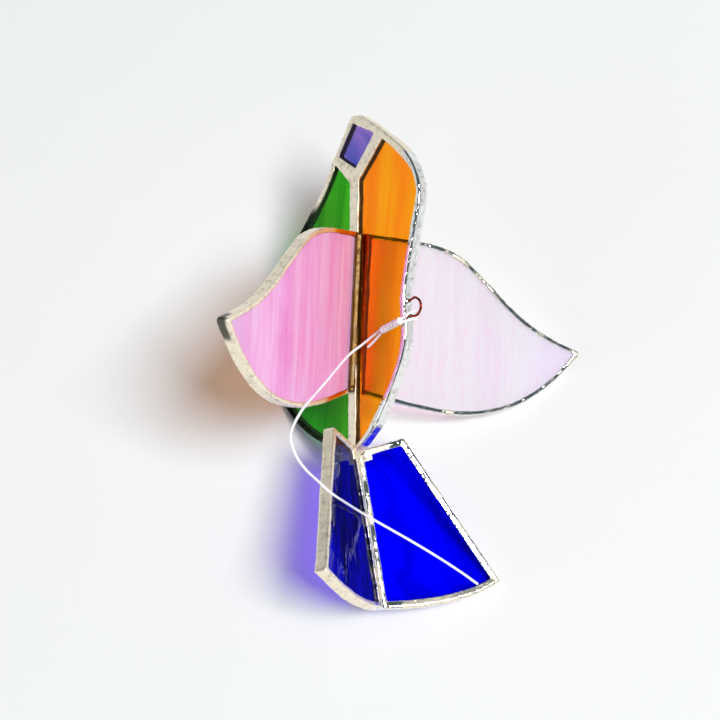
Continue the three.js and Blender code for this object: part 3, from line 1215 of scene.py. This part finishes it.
@dataclass(frozen=True)
class SolderWork:
    """How hand run solder is made from a panel's plain solder.

    Attributes:
        step_mm: The size of its mesh's cells.
        rounds: How often its corners are rubbed down.
        swell_mm: The height of its long lumps.
        ripple_mm: The height of its small ripples.
        pit_mm: The depth of its pits.
    """

    step_mm: float = 0.34
    rounds: int = 9
    swell_mm: float = 0.2
    ripple_mm: float = 0.018
    pit_mm: float = 0.16

    def run(self, shells: list[Shell], seed: float) -> Shell:
        """Melts shells together and gives them a hand run skin.

        Args:
            shells: The solids to melt together, in a panel's millimetres.
            seed: Moves the pattern of its lumps.

        Returns:
            The worked shell.
        """
        step = self.step_mm * 1
        skin = Shell.joined(shells).remeshed(step).softened(self.rounds)
        normals = skin.normals()
        lumps = self.swell_mm * sample_noise(skin.points, 6.5, seed)
        lumps += self.swell_mm * 0.5 * sample_noise(skin.points, 2.6, seed + 5.0)
        lumps += self.ripple_mm * sample_noise(skin.points, 0.9, seed + 11.0)
        pits = np.clip((sample_noise(skin.points, 1.3, seed + 23.0) - 0.45) / 0.25, 0.0, 1.0)
        lumps -= self.pit_mm * pits
        return Shell(skin.points + normals * lumps[:, None], skin.faces)


@dataclass
class Glazing:
    """One glass plate, and the lips of solder that close over its edge.

    Attributes:
        core_half_mm: Half the thickness of the solder over the edge of the glass.
        outer_mm: How far that solder reaches outside the glass.
        cover_mm: How far it covers the glass's edge.
    """

    core_half_mm: float = 1.95
    outer_mm: float = 0.45
    cover_mm: float = 0.85

    def lip(
        self, glass: bpy.types.Object, panel: Panel, wider: float = 0.0, below: float = 0.0
    ) -> Shell:
        """The solder over the edge of a plate.

        Args:
            glass: The plate.
            panel: Its panel's frame.
            wider: How much more of the plate it covers, in millimetres.
            below: How much more than that it covers of the plate's face towards z.

        Returns:
            A ring round it.
        """
        loop = face_loop(Shell.of(glass, panel))
        cover = self.cover_mm + wider
        return frame_ring(loop, self.outer_mm, (cover, cover + below), self.core_half_mm)


def along_curve(corners: list[Point], per_span: int) -> np.ndarray:
    """Points on the smooth centripetal curve through its corners.

    Args:
        corners: The points that it passes, in millimetres.
        per_span: How many steps lie between two of them.

    Returns:
        Rows of points, in millimetres.
    """
    points = np.array(corners, dtype=float)
    before = 2 * points[0] - points[1]
    after = 2 * points[-1] - points[-2]
    points = np.vstack([before, points, after])
    result = [points[1]]
    for i in range(1, len(points) - 2):
        p = points[i - 1 : i + 3]
        chords = np.linalg.norm(np.diff(p, axis=0), axis=1)
        knots = np.concatenate([[0.0], np.cumsum(np.sqrt(chords))])
        for step in range(1, per_span + 1):
            t = knots[1] + (knots[2] - knots[1]) * step / per_span
            level = list(p)
            for depth in (1, 2, 3):
                raised = []
                for k in range(len(level) - 1):
                    low, high = (k, k + depth) if depth < 3 else (1, 2)
                    share = (t - knots[low]) / (knots[high] - knots[low])
                    raised.append(level[k] * (1 - share) + level[k + 1] * share)
                level = raised
            result.append(level[0])
    return np.array(result)


def barrel_faces(rows: int, sides: int) -> Faces:
    """The faces of a closed barrel of rings, whose two end points come after its rings.

    Args:
        rows: How many rings it has.
        sides: How many points each ring has.

    Returns:
        The faces.
    """
    faces: Faces = []
    for i in range(rows - 1):
        for k in range(sides):
            j = (k + 1) % sides
            here, there = i * sides, (i + 1) * sides
            faces.append((here + k, here + j, there + j, there + k))
    last, start, end = (rows - 1) * sides, rows * sides, rows * sides + 1
    for k in range(sides):
        j = (k + 1) % sides
        faces += [(start, j, k), (end, last + k, last + j)]
    return faces


def tube_shell(path: np.ndarray, radius: float, slant: float = 0.0) -> Shell:
    """A round tube along a path, with domed or slanting ends.

    Args:
        path: The points that it follows, in millimetres.
        radius: Its radius.
        slant: How far its far end is cut askew, in millimetres.

    Returns:
        The closed tube.
    """
    sides, start_dome, end_dome = 16, 0.3, 0.1
    heading = np.gradient(path, axis=0)
    heading = heading / np.linalg.norm(heading, axis=1)[:, None]
    side = np.cross(heading[0], [0.0, 0.0, 1.0])
    if np.linalg.norm(side) < 0.1:
        side = np.cross(heading[0], [0.0, 1.0, 0.0])
    rings = []
    for i, (point, forward) in enumerate(zip(path, heading)):
        side = side - forward * (side @ forward)
        side = side / np.linalg.norm(side)
        up = np.cross(forward, side)
        last = i == len(path) - 1
        for k in range(sides):
            turn = 2 * math.pi * k / sides
            offset = side * math.cos(turn) + up * math.sin(turn)
            askew = forward * (slant * math.cos(turn)) if last else 0.0
            rings.append(point + offset * radius + askew)
    start = path[0] - heading[0] * radius * start_dome
    end = path[-1] + heading[-1] * radius * end_dome
    return Shell(np.vstack([rings, start, end]), barrel_faces(len(path), sides))


class Side(IntEnum):
    """The bird's left and right sides, with the sign of its y axis."""

    LEFT = 1
    RIGHT = -1

    @property
    def word(self) -> str:
        """The side's name in the solids' names."""
        return self.name.lower()


@dataclass
class Panes:
    """The frames of the five panels and the tail, in the bird.

    Attributes:
        bird: The bird's frame.
        wing_rise: Degrees that each wing climbs.
        wing_foot: Where a wing's frame starts: out to its side, and up.
        tail_foot: Where the tail starts: forward and up.
        tail_rise: Degrees that the valley climbs.
        tail_fold: Degrees that each tail panel climbs from the valley.
    """

    bird: BirdFrame
    wing_rise: float = 21.8
    wing_foot: tuple[float, float] = (2.2, 0.4)
    tail_foot: tuple[float, float] = (-49.5, 2.7)
    tail_rise: float = 17.4
    tail_fold: float = 25.5

    def frame(self, foot: Point, *turns: tuple[str, float]) -> Panel:
        """A frame at a foot in the bird, turned about its own axes.

        Args:
            foot: Where it starts, in millimetres of the bird.
            *turns: Each axis and the degrees about it, in order.

        Returns:
            The frame.
        """
        matrix = self.bird.matrix @ Matrix.Translation(Vector(foot) * MM)
        for axis, degrees in turns:
            matrix = matrix @ Matrix.Rotation(math.radians(degrees), 4, axis)
        return Panel(matrix)

    def body(self) -> Panel:
        """The body's panel, with y towards the bird's back."""
        return self.frame((0, 0, 0), ("X", 90))

    def wing(self, side: Side) -> Panel:
        """A wing's panel, with y outwards."""
        turn = self.wing_rise if side is Side.LEFT else 180 - self.wing_rise
        return self.frame((0, side * self.wing_foot[0], self.wing_foot[1]), ("X", turn))

    def tail(self) -> Panel:
        """The tail's frame, with x along its valley and z down."""
        forward, up = self.tail_foot
        return self.frame((forward, 0, up), ("Y", 180 + self.tail_rise))

    def tail_panel(self, side: Side) -> Panel:
        """One tail panel's frame."""
        turn = -self.tail_fold if side is Side.LEFT else self.tail_fold - 180
        return Panel(self.tail().matrix @ Matrix.Rotation(math.radians(turn), 4, "X"))

    def streak_frame(self, panel: Panel, degrees: float) -> Matrix:
        """A panel's frame turned in its plane, so that x follows the glass's streaks."""
        return panel.matrix @ Matrix.Rotation(math.radians(degrees), 4, "Z")


def moved(shell: Shell, source: Panel, target: Panel) -> Shell:
    """A shell of one panel's frame in another's."""
    return Shell(target.to_local_mm(source.to_row(shell.points)), shell.faces)


@dataclass
class Workshop:
    """What every part of the bird is made with."""

    nodes: dict[str, bpy.types.Object]
    panes: Panes
    effects: Effects
    tin: bpy.types.Material
    solder: SolderWork = field(default_factory=SolderWork)
    glazing: Glazing = field(default_factory=Glazing)

    def loop(self, name: str, panel: Panel) -> np.ndarray:
        """The outline of a pane, in its panel's frame."""
        return face_loop(Shell.of(self.nodes[name], panel))

    def run_solder(
        self,
        name: str,
        node: str,
        shells: list[Shell],
        panel: Panel,
        seed: float,
        wear_and_shade: Callable[[np.ndarray], Masks],
    ) -> None:
        """Works a panel's solder and puts it into the scene.

        Args:
            name: What the piece is called.
            node: The solid that it stands for.
            shells: The solids to melt together, in the panel's frame.
            panel: The panel's frame.
            seed: Moves the pattern of its lumps.
            wear_and_shade: Finds where it is matt, dark or bare.
        """
        worked = self.solder.run(shells, seed)
        piece = add_piece(name, node, worked, panel, self.tin)
        paint_wear_and_shade(piece.data, *wear_and_shade(worked.points))


def climb(values: np.ndarray, low: float, high: float) -> np.ndarray:
    """A smooth climb from 0 at low to 1 at high, either way round."""
    share = np.clip((values - low) / (high - low), 0.0, 1.0)
    return share * share * (3.0 - 2.0 * share)


def paint_wear_and_shade(mesh: bpy.types.Mesh, *masks: np.ndarray) -> None:
    """Stores on a mesh how its solder has worn, and where shade is painted on it.

    Args:
        mesh: The mesh.
        *masks: Where it is matt, dark (foil and painted shade) and bare copper, each from 0 to 1.
    """
    layer = mesh.color_attributes.new(WEAR_AND_SHADE, "FLOAT_COLOR", "POINT")
    rows = np.stack([*masks, np.ones_like(masks[0])], axis=1)
    layer.data.foreach_set("color", np.clip(rows, 0.0, 1.0).ravel())


def under_glass(points: np.ndarray, loop: np.ndarray) -> np.ndarray:
    """1 for points of solder that lie against a pane's edge, inside its faces; these are painted
    dark, as foil and as painted shade along the edge.

    Args:
        points: Points in the pane's frame, in millimetres.
        loop: The pane's outline.

    Returns:
        One value for each point.
    """
    margin, reach = 0.1, 1.35
    close = inside_loop(points, grown(loop, margin))
    return (close & (np.abs(points[:, 2]) < reach)).astype(float)


ORANGE = dict(light=(1.0, 0.44, 0.002), dark=(1.0, 0.2, 0.0), tint_of_light=(1.0, 0.55, 0.18))
GREEN = dict(light=(0.07, 0.62, 0.012), dark=(0.012, 0.32, 0.002), tint_of_light=(0.3, 0.75, 0.3))
VIOLET = dict(light=(0.38, 0.19, 0.62), dark=(0.01, 0.06, 0.42), tint_of_light=(0.55, 0.5, 0.9))
COBALT = dict(light=(0.0, 0.0, 1.0), dark=(0.0, 0.0, 0.55), tint_of_light=(0.36, 0.06, 0.8))
# The left tail pane is the same cobalt glass as the right; these darker blues are painted shade for
# its steep, glancing face.
SHADED_COBALT = dict(light=(0.0, 0.0, 0.55), dark=(0.0, 0.0, 0.01), tint_of_light=(0.36, 0.1, 0.8))


@dataclass
class BodyPart:
    """The upright body: violet beak, orange back and green belly, in one frame of solder."""

    shop: Workshop
    seed: float = 3.0
    panes: tuple[str, ...] = ("beak_glass", "back_glass", "belly_glass")

    def wear_and_shade(self, points: np.ndarray) -> Masks:
        """Where the body's solder is matt, dark or bare, with painted shade on the belly rim, at
        the wing roots and against the panes.

        Args:
            points: Its points in the body's frame, in millimetres.

        Returns:
            Three masks.
        """
        x, y = points[:, 0], points[:, 1]
        beak = climb(x - 0.45 * y, 43.0, 51.0)
        seam = climb(np.abs(y - 1.2), 9.0, 6.0) * climb(x, 70.0, 60.0)
        # The belly rim, seen edge on, is painted dark green: painted shade and a painted reflection
        # of the green glass.
        belly = climb(y + 0.45 * x, 15.0, 9.0) * climb(y, -4.0, -7.0) * climb(x, 44.0, 38.0)
        shop, panel = self.shop, self.shop.panes.body()
        dark = belly
        for name in self.panes:
            dark = np.maximum(dark, under_glass(points, shop.loop(name, panel)))
        # Where the wings meet the body, the solder is painted dark as shade and given a copper
        # tone.
        root = climb(np.abs(y - 1.2), 3.4, 2.6) * climb(x, 31.0, 29.0) * climb(x, -28.0, -26.0)
        copper = np.maximum(0.25 * climb(x, -40.0, -46.0), 0.6 * root)
        return np.maximum(beak, seam), np.maximum(dark, 0.7 * root), copper

    def build(self) -> None:
        """Works the body's solder and dresses its glass."""
        shop, panel = self.shop, self.shop.panes.body()
        shells = [Shell.of(shop.nodes["body_solder"], panel)]
        shells += [shop.glazing.lip(shop.nodes[name], panel, below=0.9) for name in self.panes]
        shop.run_solder("body_beads", "body_solder", shells, panel, self.seed, self.wear_and_shade)
        ripple = {"ripple_mm": 0.03, "waviness": 0.05}
        orange = ClearGlass("orange_glass", fine=0.5, **ripple, **ORANGE)
        green = ClearGlass("green_glass", fine=0.3, **ripple, **GREEN)
        violet = ClearGlass("violet_glass", fine=0.2, waviness=0.6, ripple_mm=0.04, **VIOLET)
        panes = (("back_glass", orange, 6), ("belly_glass", green, 6), ("beak_glass", violet, -50))
        for name, finish, degrees in panes:
            frame = shop.panes.streak_frame(panel, degrees)
            dress(shop.nodes, name, finish.make(shop.effects, frame))


@dataclass
class WingPart:
    """A wing: an opal pane in its rim, soldered to the body along its root.

    Attributes:
        side: Which wing it is.
        glass: The finish of its pane.
        matt: How much of its rim has grown matt.
        seed: Moves the pattern of its solder.
    """

    shop: Workshop
    side: Side
    glass: OpalGlass
    matt: float
    seed: float
    root_from: float = -27.0
    root_to: float = 30.0

    @property
    def pane(self) -> str:
        """The name of its glass among the solids."""
        return f"{self.side.word}_wing_glass"

    def root_beads(self) -> list[Shell]:
        """The solder run into the two corners between the wing and the body.

        Returns:
            The two beads, in the wing's frame.
        """
        beads = []
        for y, z, radius in ((1.25, 2.4, 0.8), (-0.55, -2.35, 0.9)):
            ends = [np.array([x, y, self.side * z]) for x in (self.root_from, self.root_to)]
            beads.append(rod(*ends, radius))
        return beads

    def wear_and_shade(self, points: np.ndarray) -> Masks:
        """Where the wing's solder is matt, dark or bare, with painted shade at its root and against
        its pane.

        Args:
            points: Its points in the wing's frame, in millimetres.

        Returns:
            Three masks.
        """
        y, height = points[:, 1], self.side * points[:, 2]
        loop = self.shop.loop(self.pane, self.shop.panes.wing(self.side))
        outer = climb(y, 14.0, 24.0) * self.matt
        # Near the tip, the rim is darkened on all but its back-side face.
        tip = climb(y, 82.5, 84.5) * climb(points[:, 0], 2.0, -6.0) * climb(height, 1.4, 0.6)
        dark = np.maximum(under_glass(points, loop), 0.9 * tip)
        # The root bead, where wing and body meet, is painted dark as shade, and made matt and
        # copper toned.
        root = climb(y, 4.0, 3.5)
        amber = climb(y, 24.0, 16.0) * climb(y, 3.8, 4.6) * climb(height, 1.5, 1.9) * self.matt
        matt = np.maximum(outer, 0.9 * root)
        return matt, np.maximum(dark, 0.88 * root), 0.7 * np.maximum(amber, root)

    def build(self) -> None:
        """Works the wing's solder and dresses its glass."""
        shop, panel, wing = self.shop, self.shop.panes.wing(self.side), f"{self.side.word}_wing"
        shells = [
            Shell.of(shop.nodes[f"{wing}_solder"], panel),
            shop.glazing.lip(shop.nodes[self.pane], panel),
            *self.root_beads(),
        ]
        shop.run_solder(f"{wing}_beads", f"{wing}_solder", shells, panel, self.seed, self.wear_and_shade)
        frame = shop.panes.streak_frame(panel, 0)
        dress(shop.nodes, self.pane, self.glass.make(shop.effects, frame))


@dataclass
class TailPart:
    """The tail: two cobalt panes folded along a valley of solder."""

    shop: Workshop
    seed: float = 41.0
    cell_mm: float = 0.6
    wave_mm: float = 0.1

    def rippled_glass(self, side: Side, finish: ClearGlass) -> None:
        """One pane of watery rolled glass.

        Args:
            side: Which pane it is.
            finish: Its finish.
        """
        shop, panel = self.shop, self.shop.panes.tail_panel(side)
        node = f"{side.word}_tail_glass"
        skin = Shell.of(shop.nodes[node], panel).remeshed(self.cell_mm).softened(2)
        flat = skin.points * (1.0, 1.6, 0.2)
        wave = sample_noise(flat, 13.0, self.seed + side)
        wave = wave + 0.45 * sample_noise(flat, 6.5, self.seed - side)
        skin.points[:, 2] += self.wave_mm * wave
        material = finish.make(shop.effects, shop.panes.streak_frame(panel, 20))
        add_piece(f"{side.word}_tail_pane", node, skin, panel, material)

    def wear_and_shade(self, points: np.ndarray) -> Masks:
        """Where the tail's solder is matt, dark or bare, with painted shade against its panes.

        Args:
            points: Its points in the tail's frame, in millimetres.

        Returns:
            Three masks.
        """
        shop, frame = self.shop, self.shop.panes.tail()
        left = climb(points[:, 1], 4.0, 9.0)
        right = climb(points[:, 1], -4.0, -9.0)
        # Against each pane, the solder is painted dark: the foil, with the shade along the pane's
        # edge painted in.
        dark = np.zeros(len(points))
        for side in Side:
            panel = shop.panes.tail_panel(side)
            loop = shop.loop(f"{side.word}_tail_glass", panel)
            inside = panel.to_local_mm(frame.to_row(points))
            dark = np.maximum(dark, under_glass(inside, loop))
        ridge = climb(np.abs(points[:, 1] + 2.2), 1.0, 0.3) * climb(points[:, 0], 8.0, 16.0)
        start = climb(points[:, 0], 9.0, 6.0)
        middle = (1 - left - right) * np.maximum(start, 0.45)
        rear = climb(points[:, 0], 42.0, 48.0)
        return 0.9 * left + (0.35 + 0.4 * rear) * right + middle, dark, 0.5 * ridge

    def build(self) -> None:
        """Works the tail's solder and its two panes."""
        shop, frame = self.shop, self.shop.panes.tail()
        shells = [Shell.of(shop.nodes["tail_solder"], frame)]
        for side in Side:
            panel = shop.panes.tail_panel(side)
            pane = shop.nodes[f"{side.word}_tail_glass"]
            lip = shop.glazing.lip(pane, panel, wider=0.25, below=0.7)
            shells.append(moved(lip, panel, frame))
        shells.append(ball((0.6, 0.0, -1.3), (2.2, 1.9, 1.5)))
        shop.run_solder("tail_beads", "tail_solder", shells, frame, self.seed, self.wear_and_shade)
        # The left pane: its darker blues and strong dark streaks are painted shade and painted
        # refraction of its ripples.
        waves = {"fine": 0.9, "waviness": 0.5, "ripple_mm": 0.1, "shortness": 1.3}
        self.rippled_glass(Side.LEFT, ClearGlass("shaded_cobalt_glass", **waves, **SHADED_COBALT))
        waves = {"fine": 0.3, "waviness": 1.2, "ripple_mm": 0.05}
        self.rippled_glass(Side.RIGHT, ClearGlass("cobalt_glass", **waves, **COBALT))


@dataclass
class HangingLoop:
    """The copper wire loop on the bird's back."""

    shop: Workshop
    radius_mm: float = 0.45
    path_mm: tuple[tuple[float, float], ...] = (
        (5.0, 26.9),
        (5.4, 28.2),
        (6.3, 30.6),
        (5.1, 33.0),
        (2.7, 33.7),
        (0.3, 32.2),
        (-0.1, 29.4),
        (0.2, 27.1),
    )

    def build(self) -> None:
        """Bends the wire."""
        path = along_curve([(x, y, 0.0) for x, y in self.path_mm], STEPS_PER_SPAN)
        wire = tube_shell(path, self.radius_mm)
        finish = WireMetal(
            "copper_wire",
            bright=srgb(170, 74, 48),
            tarnish=srgb(84, 24, 16),
            tarnish_share=0.8,
            roughness=0.22,
        )
        copper, panel = finish.make(self.shop.effects), self.shop.panes.body()
        add_piece("wire_loop", "hanging_loop", wire, panel, copper)


@dataclass
class NylonLine:
    """The nylon line: an eye through the loop, three crimps, a cut stub and the loose run.

    Its routes are in the bird's frame, in metres.
    """

    shop: Workshop
    diameter: float = 0.0009
    strand_offset: float = 0.0006
    crimp_length: float = 0.0032
    crimp_radius: float = 0.00135
    crimp_gap: float = 0.0003
    crimp_count: int = 3
    crimp_top: Point = (-0.0020, 0.0041, 0.0282)
    crimp_rise: Point = (0.322, 0.047, 0.946)
    eye_route: tuple[Point, ...] = (
        (-0.0008, 0.0035, 0.0294),
        (0.0007, 0.0020, 0.0302),
        (0.00135, 0.0004, 0.0306),
        (0.0010, -0.00085, 0.0308),
        (0.00005, -0.0013, 0.0308),
        (-0.0009, -0.00085, 0.0307),
        (-0.0012, 0.0004, 0.0304),
        (-0.0017, 0.0020, 0.0300),
        (-0.0023, 0.0035, 0.0296),
    )
    stub_route: tuple[Point, ...] = (
        (-0.0084, 0.0030, 0.0148),
        (-0.0110, 0.0024, 0.0105),
    )
    line_route: tuple[Point, ...] = (
        (-0.0063, 0.0030, 0.0148),
        (-0.0079, 0.0029, 0.0118),
        (-0.0105, 0.0035, 0.0079),
        (-0.0131, 0.0060, 0.0060),
        (-0.0156, 0.0092, 0.0063),
        (-0.0184, 0.0130, 0.0074),
        (-0.0243, 0.0214, 0.0106),
        (-0.0281, 0.0274, 0.0130),
        (-0.0317, 0.0336, 0.0161),
        (-0.0335, 0.0363, 0.0172),
        (-0.0357, 0.0382, 0.0174),
        (-0.0402, 0.0392, 0.0154),
        (-0.0439, 0.0382, 0.0134),
        (-0.0476, 0.0364, 0.0128),
        (-0.0512, 0.0348, 0.0139),
        (-0.0546, 0.0334, 0.0168),
        (-0.0576, 0.0321, 0.0209),
        (-0.0596, 0.0310, 0.0233),
        (-0.0614, 0.0291, 0.0246),
        (-0.0628, 0.0261, 0.0239),
        (-0.0642, 0.0217, 0.0220),
        (-0.0671, 0.0121, 0.0174),
        (-0.0695, 0.0046, 0.0144),
        (-0.0717, -0.0008, 0.0141),
        (-0.0748, -0.0064, 0.0167),
        (-0.0780, -0.0117, 0.0201),
        (-0.0833, -0.0198, 0.0258),
        (-0.0890, -0.0277, 0.0316),
        (-0.0931, -0.0328, 0.0354),
    )

    def rise(self) -> np.ndarray:
        """The direction from the last crimp up to the first."""
        return np.array(self.crimp_rise) / np.linalg.norm(self.crimp_rise)

    def forward(self) -> np.ndarray:
        """The direction across the crimps, from one strand to the other.

        Returns:
            A unit vector.
        """
        rise = self.rise()
        forward = np.array([1.0, 0.0, 0.0]) - rise * rise[0]
        return forward / np.linalg.norm(forward)

    def strand(self, along: float, side: int) -> Point:
        """A strand's place beside the crimps' middle line, in metres in the bird's frame.

        Args:
            along: How far above the first crimp's top it is.
            side: 1 for the strand ahead and -1 for the one behind.

        Returns:
            The place.
        """
        offset = self.forward() * side * self.strand_offset
        return tuple(np.array(self.crimp_top) + self.rise() * along + offset)

    def path(self, corners: list[Point]) -> np.ndarray:
        """The smooth path through corners in metres of the bird's frame, in millimetres of it."""
        return along_curve([tuple(np.array(c) / MM) for c in corners], STEPS_PER_SPAN)

    def tube(
        self,
        name: str,
        node: str,
        path: np.ndarray,
        material: bpy.types.Material,
        slant: float = 0.0,
    ) -> bpy.types.Object:
        """One run of line.

        Args:
            name: The piece's name.
            node: The solid that it stands for.
            path: The points that it follows, in millimetres of the bird's frame.
            material: Its material.
            slant: How far its far end is cut askew, in millimetres.

        Returns:
            The piece.
        """
        bird = Panel(self.shop.panes.bird.matrix)
        shell = tube_shell(path, self.diameter / MM / 2, slant=slant)
        return add_piece(name, node, shell, bird, material)

    def crimp(self, index: int, material: bpy.types.Material) -> bpy.types.Object:
        """A pressed metal barrel round both strands.

        Args:
            index: Its place, 0 for the one next to the eye.
            material: Its material.

        Returns:
            The piece.
        """
        sides, rows, chamfer = 32, 15, 0.14
        dent, dent_reach, dimple = 0.16, 0.75, 0.05
        half, radius = self.crimp_length / MM / 2, self.crimp_radius / MM
        rise, forward = self.rise(), self.forward()
        side = np.cross(rise, forward)
        down = (self.crimp_length * (index + 0.5) + self.crimp_gap * index) / MM
        centre = np.array(self.crimp_top) / MM - rise * down
        mouth = [(0.5, radius * 0.45), (0.05, radius * 0.62), (0.0, radius * 0.78)]
        profile = [(inset - half, wide) for inset, wide in mouth]
        for i in range(rows):
            z = -half + chamfer + (2 * half - 2 * chamfer) * i / (rows - 1)
            profile.append((z, radius))
        profile += [(half - inset, wide) for inset, wide in reversed(mouth)]
        points = []
        for z, wide in profile:
            for k in range(sides):
                turn = 2 * math.pi * k / sides
                ahead, beside = math.cos(turn), math.sin(turn)
                pressed = dent * math.exp(-((z / dent_reach) ** 2))
                pressed = pressed * max(0.0, math.cos(2 * turn + index)) ** 2
                spot = Vector((z * 1.1, ahead * 1.5, beside * 1.5 + index * 9))
                reach = wide * (1.0 - pressed + dimple * noise.noise(spot))
                points.append(centre + rise * z + (forward * ahead + side * beside) * reach)
        points += [centre + rise * profile[0][0], centre + rise * profile[-1][0]]
        shell = Shell(np.array(points), barrel_faces(len(profile), sides))
        bird, name = Panel(self.shop.panes.bird.matrix), f"pressed_crimp_{index + 1}"
        return add_piece(name, f"crimp_bead_{index + 1}", shell, bird, material)

    def build(self) -> None:
        """Lays the line and presses its crimps."""
        nylon = NylonFinish().make(self.shop.effects)
        # The crimps are silver; their near-white, barely metallic finish also paints the white
        # reflection they show.
        silver_and_sheen = WireMetal(
            "crimp_metal",
            bright=srgb(246, 247, 246),
            tarnish=srgb(120, 110, 96),
            tarnish_share=0.3,
            roughness=0.15,
            metal=0.12,
        ).make(self.shop.effects)
        row = self.crimp_count * (self.crimp_length + self.crimp_gap) - self.crimp_gap
        above, below = self.crimp_gap, -row - self.crimp_gap
        eye = self.path([self.strand(above, 1), *self.eye_route, self.strand(above, -1)])
        stub = self.path([self.strand(below, -1), *self.stub_route])
        main = self.path([self.strand(below, 1), *self.line_route])
        pieces = [
            self.tube("line_bight", "line_eye", eye, nylon),
            self.tube("line_tag", "line_stub", stub, nylon, slant=0.35),
        ]
        pieces += [self.crimp(i, silver_and_sheen) for i in range(self.crimp_count)]
        line = self.tube("line_run", "nylon_line", main, nylon)
        bird = self.shop.panes.bird
        route = [bird.place(tuple(point)) for point in main]


# ---------------------------------------------------------------- camera, table and light


@dataclass
class Studio:
    """The table, the light and the camera."""

    camera_place: Point = (-0.0116, -0.21417, 0.5366)
    camera_turn: Point = (23.202, 0.714, 0.467)
    lens: float = 76.39
    table_half: float = 2.5
    low_room: Colour = (0.74, 0.75, 0.76)
    high_room: Colour = (0.07, 0.1, 0.11)

    def build_camera(self) -> None:
        """Puts the camera up."""
        data = bpy.data.cameras.new("camera")
        data.sensor_width = 36.0
        data.lens = self.lens
        data.clip_start = 0.01
        camera = bpy.data.objects.new("camera", data)
        camera.location = self.camera_place
        camera.rotation_euler = Euler([math.radians(a) for a in self.camera_turn])
        bpy.context.scene.collection.objects.link(camera)
        bpy.context.scene.camera = camera

    def build_table(self) -> None:
        """Lays the table top."""
        half = self.table_half
        corners = [(-half, -half, 0), (half, -half, 0), (half, half, 0), (-half, half, 0)]
        mesh = bpy.data.meshes.new("table_top")
        mesh.from_pydata(corners, [], [(0, 1, 2, 3)])
        mesh.materials.append(TableFinish().make())
        table = bpy.data.objects.new("table_top", mesh)
        bpy.context.scene.collection.objects.link(table)

    def add_lamp(
        self, name: str, place: Vector, aim: Vector, size: float, power: float, colour: Colour
    ) -> None:
        """A square soft light.

        Args:
            name: Its name.
            place: Where it hangs.
            aim: What it points at.
            size: The length of its side, in metres.
            power: Its power, in watts.
            colour: Its colour.
        """
        data = bpy.data.lights.new(name, "AREA")
        data.size = size
        data.energy = power
        data.color = colour
        lamp = bpy.data.objects.new(name, data)
        lamp.location = place
        lamp.rotation_euler = (aim - place).to_track_quat("-Z", "Y").to_euler()
        bpy.context.scene.collection.objects.link(lamp)

    def build_light(self) -> None:
        """Lights the room, and hangs the lamps."""
        world = bpy.data.worlds.new("room")
        world.use_nodes = True
        bpy.context.scene.world = world
        tree = Tree(world.node_tree)
        output = tree.add("ShaderNodeOutputWorld")
        background = tree.add("ShaderNodeBackground")
        coordinates = tree.add("ShaderNodeTexCoord")
        split = tree.add("ShaderNodeSeparateXYZ")
        tree.feed(split.inputs[0], coordinates.outputs["Generated"])
        height = tree.ramp(split.outputs[2], 0.15, 0.5)
        colour = tree.mix(height, self.low_room, self.high_room)
        tree.feed_all(background, {"Color": colour, "Strength": 1.0})
        tree.feed(output.inputs["Surface"], background.outputs[0])
        aim = Vector((0.0, 0.0, 0.03))
        window = aim + Vector((0.37, -0.23, 1.0)) * 3.0
        fill = aim + Vector((-0.9, -0.5, 0.35)) * 2.5
        self.add_lamp("window_light", window, aim, 1.2, 113.0, (1.0, 0.995, 0.985))
        self.add_lamp("fill_light", fill, aim, 1.6, 9.0, (0.95, 0.97, 1.0))


def make_scene() -> None:
    """Builds the studio, then each part of the bird."""
    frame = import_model()
    view = bpy.context.scene.view_settings
    view.view_transform = "Standard"
    studio = Studio()
    studio.build_camera()
    studio.build_table()
    studio.build_light()
    nodes = frame["nodes"]
    effects = Effects()
    shop = Workshop(nodes, Panes(BirdFrame.read(nodes)), effects, SolderFinish().make(effects))
    NylonLine(shop).build()
    HangingLoop(shop).build()
    BodyPart(shop).build()
    pink = OpalGlass(
        "pink_opal",
        pale=srgb(240, 192, 238),
        main=srgb(236, 151, 220),
        deep=srgb(232, 132, 208),
        speck=srgb(250, 215, 240),
        speck_share=0.12,
        clearness=0.2,
        waviness=0.06,
        tint_of_light=(0.58, 0.38, 0.06),
        edge=srgb(214, 176, 222),
        root_mm=9.0,
        tip_mm=62.0,
    )
    lilac = OpalGlass(
        "lilac_opal",
        pale=srgb(222, 221, 228),
        main=srgb(220, 215, 225),
        deep=srgb(224, 204, 223),
        speck=srgb(232, 190, 216),
        speck_share=0.35,
        clearness=0.2,
        waviness=0.3,
        tint_of_light=(0.9, 0.75, 0.82),
        edge=srgb(222, 214, 238),
        root_mm=6.0,
        tip_mm=60.0,
    )
    WingPart(shop, Side.LEFT, pink, matt=1.0, seed=17.0).build()
    WingPart(shop, Side.RIGHT, lilac, matt=0.35, seed=29.0).build()
    TailPart(shop).build()
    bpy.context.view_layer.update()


def main() -> None:
    """Makes the scene and reports it."""
    logging.basicConfig(level=logging.INFO, format="%(name)s: %(message)s")
    make_scene()
    LOG.info("the scene is whole")


if __name__ == "__main__":
    main()
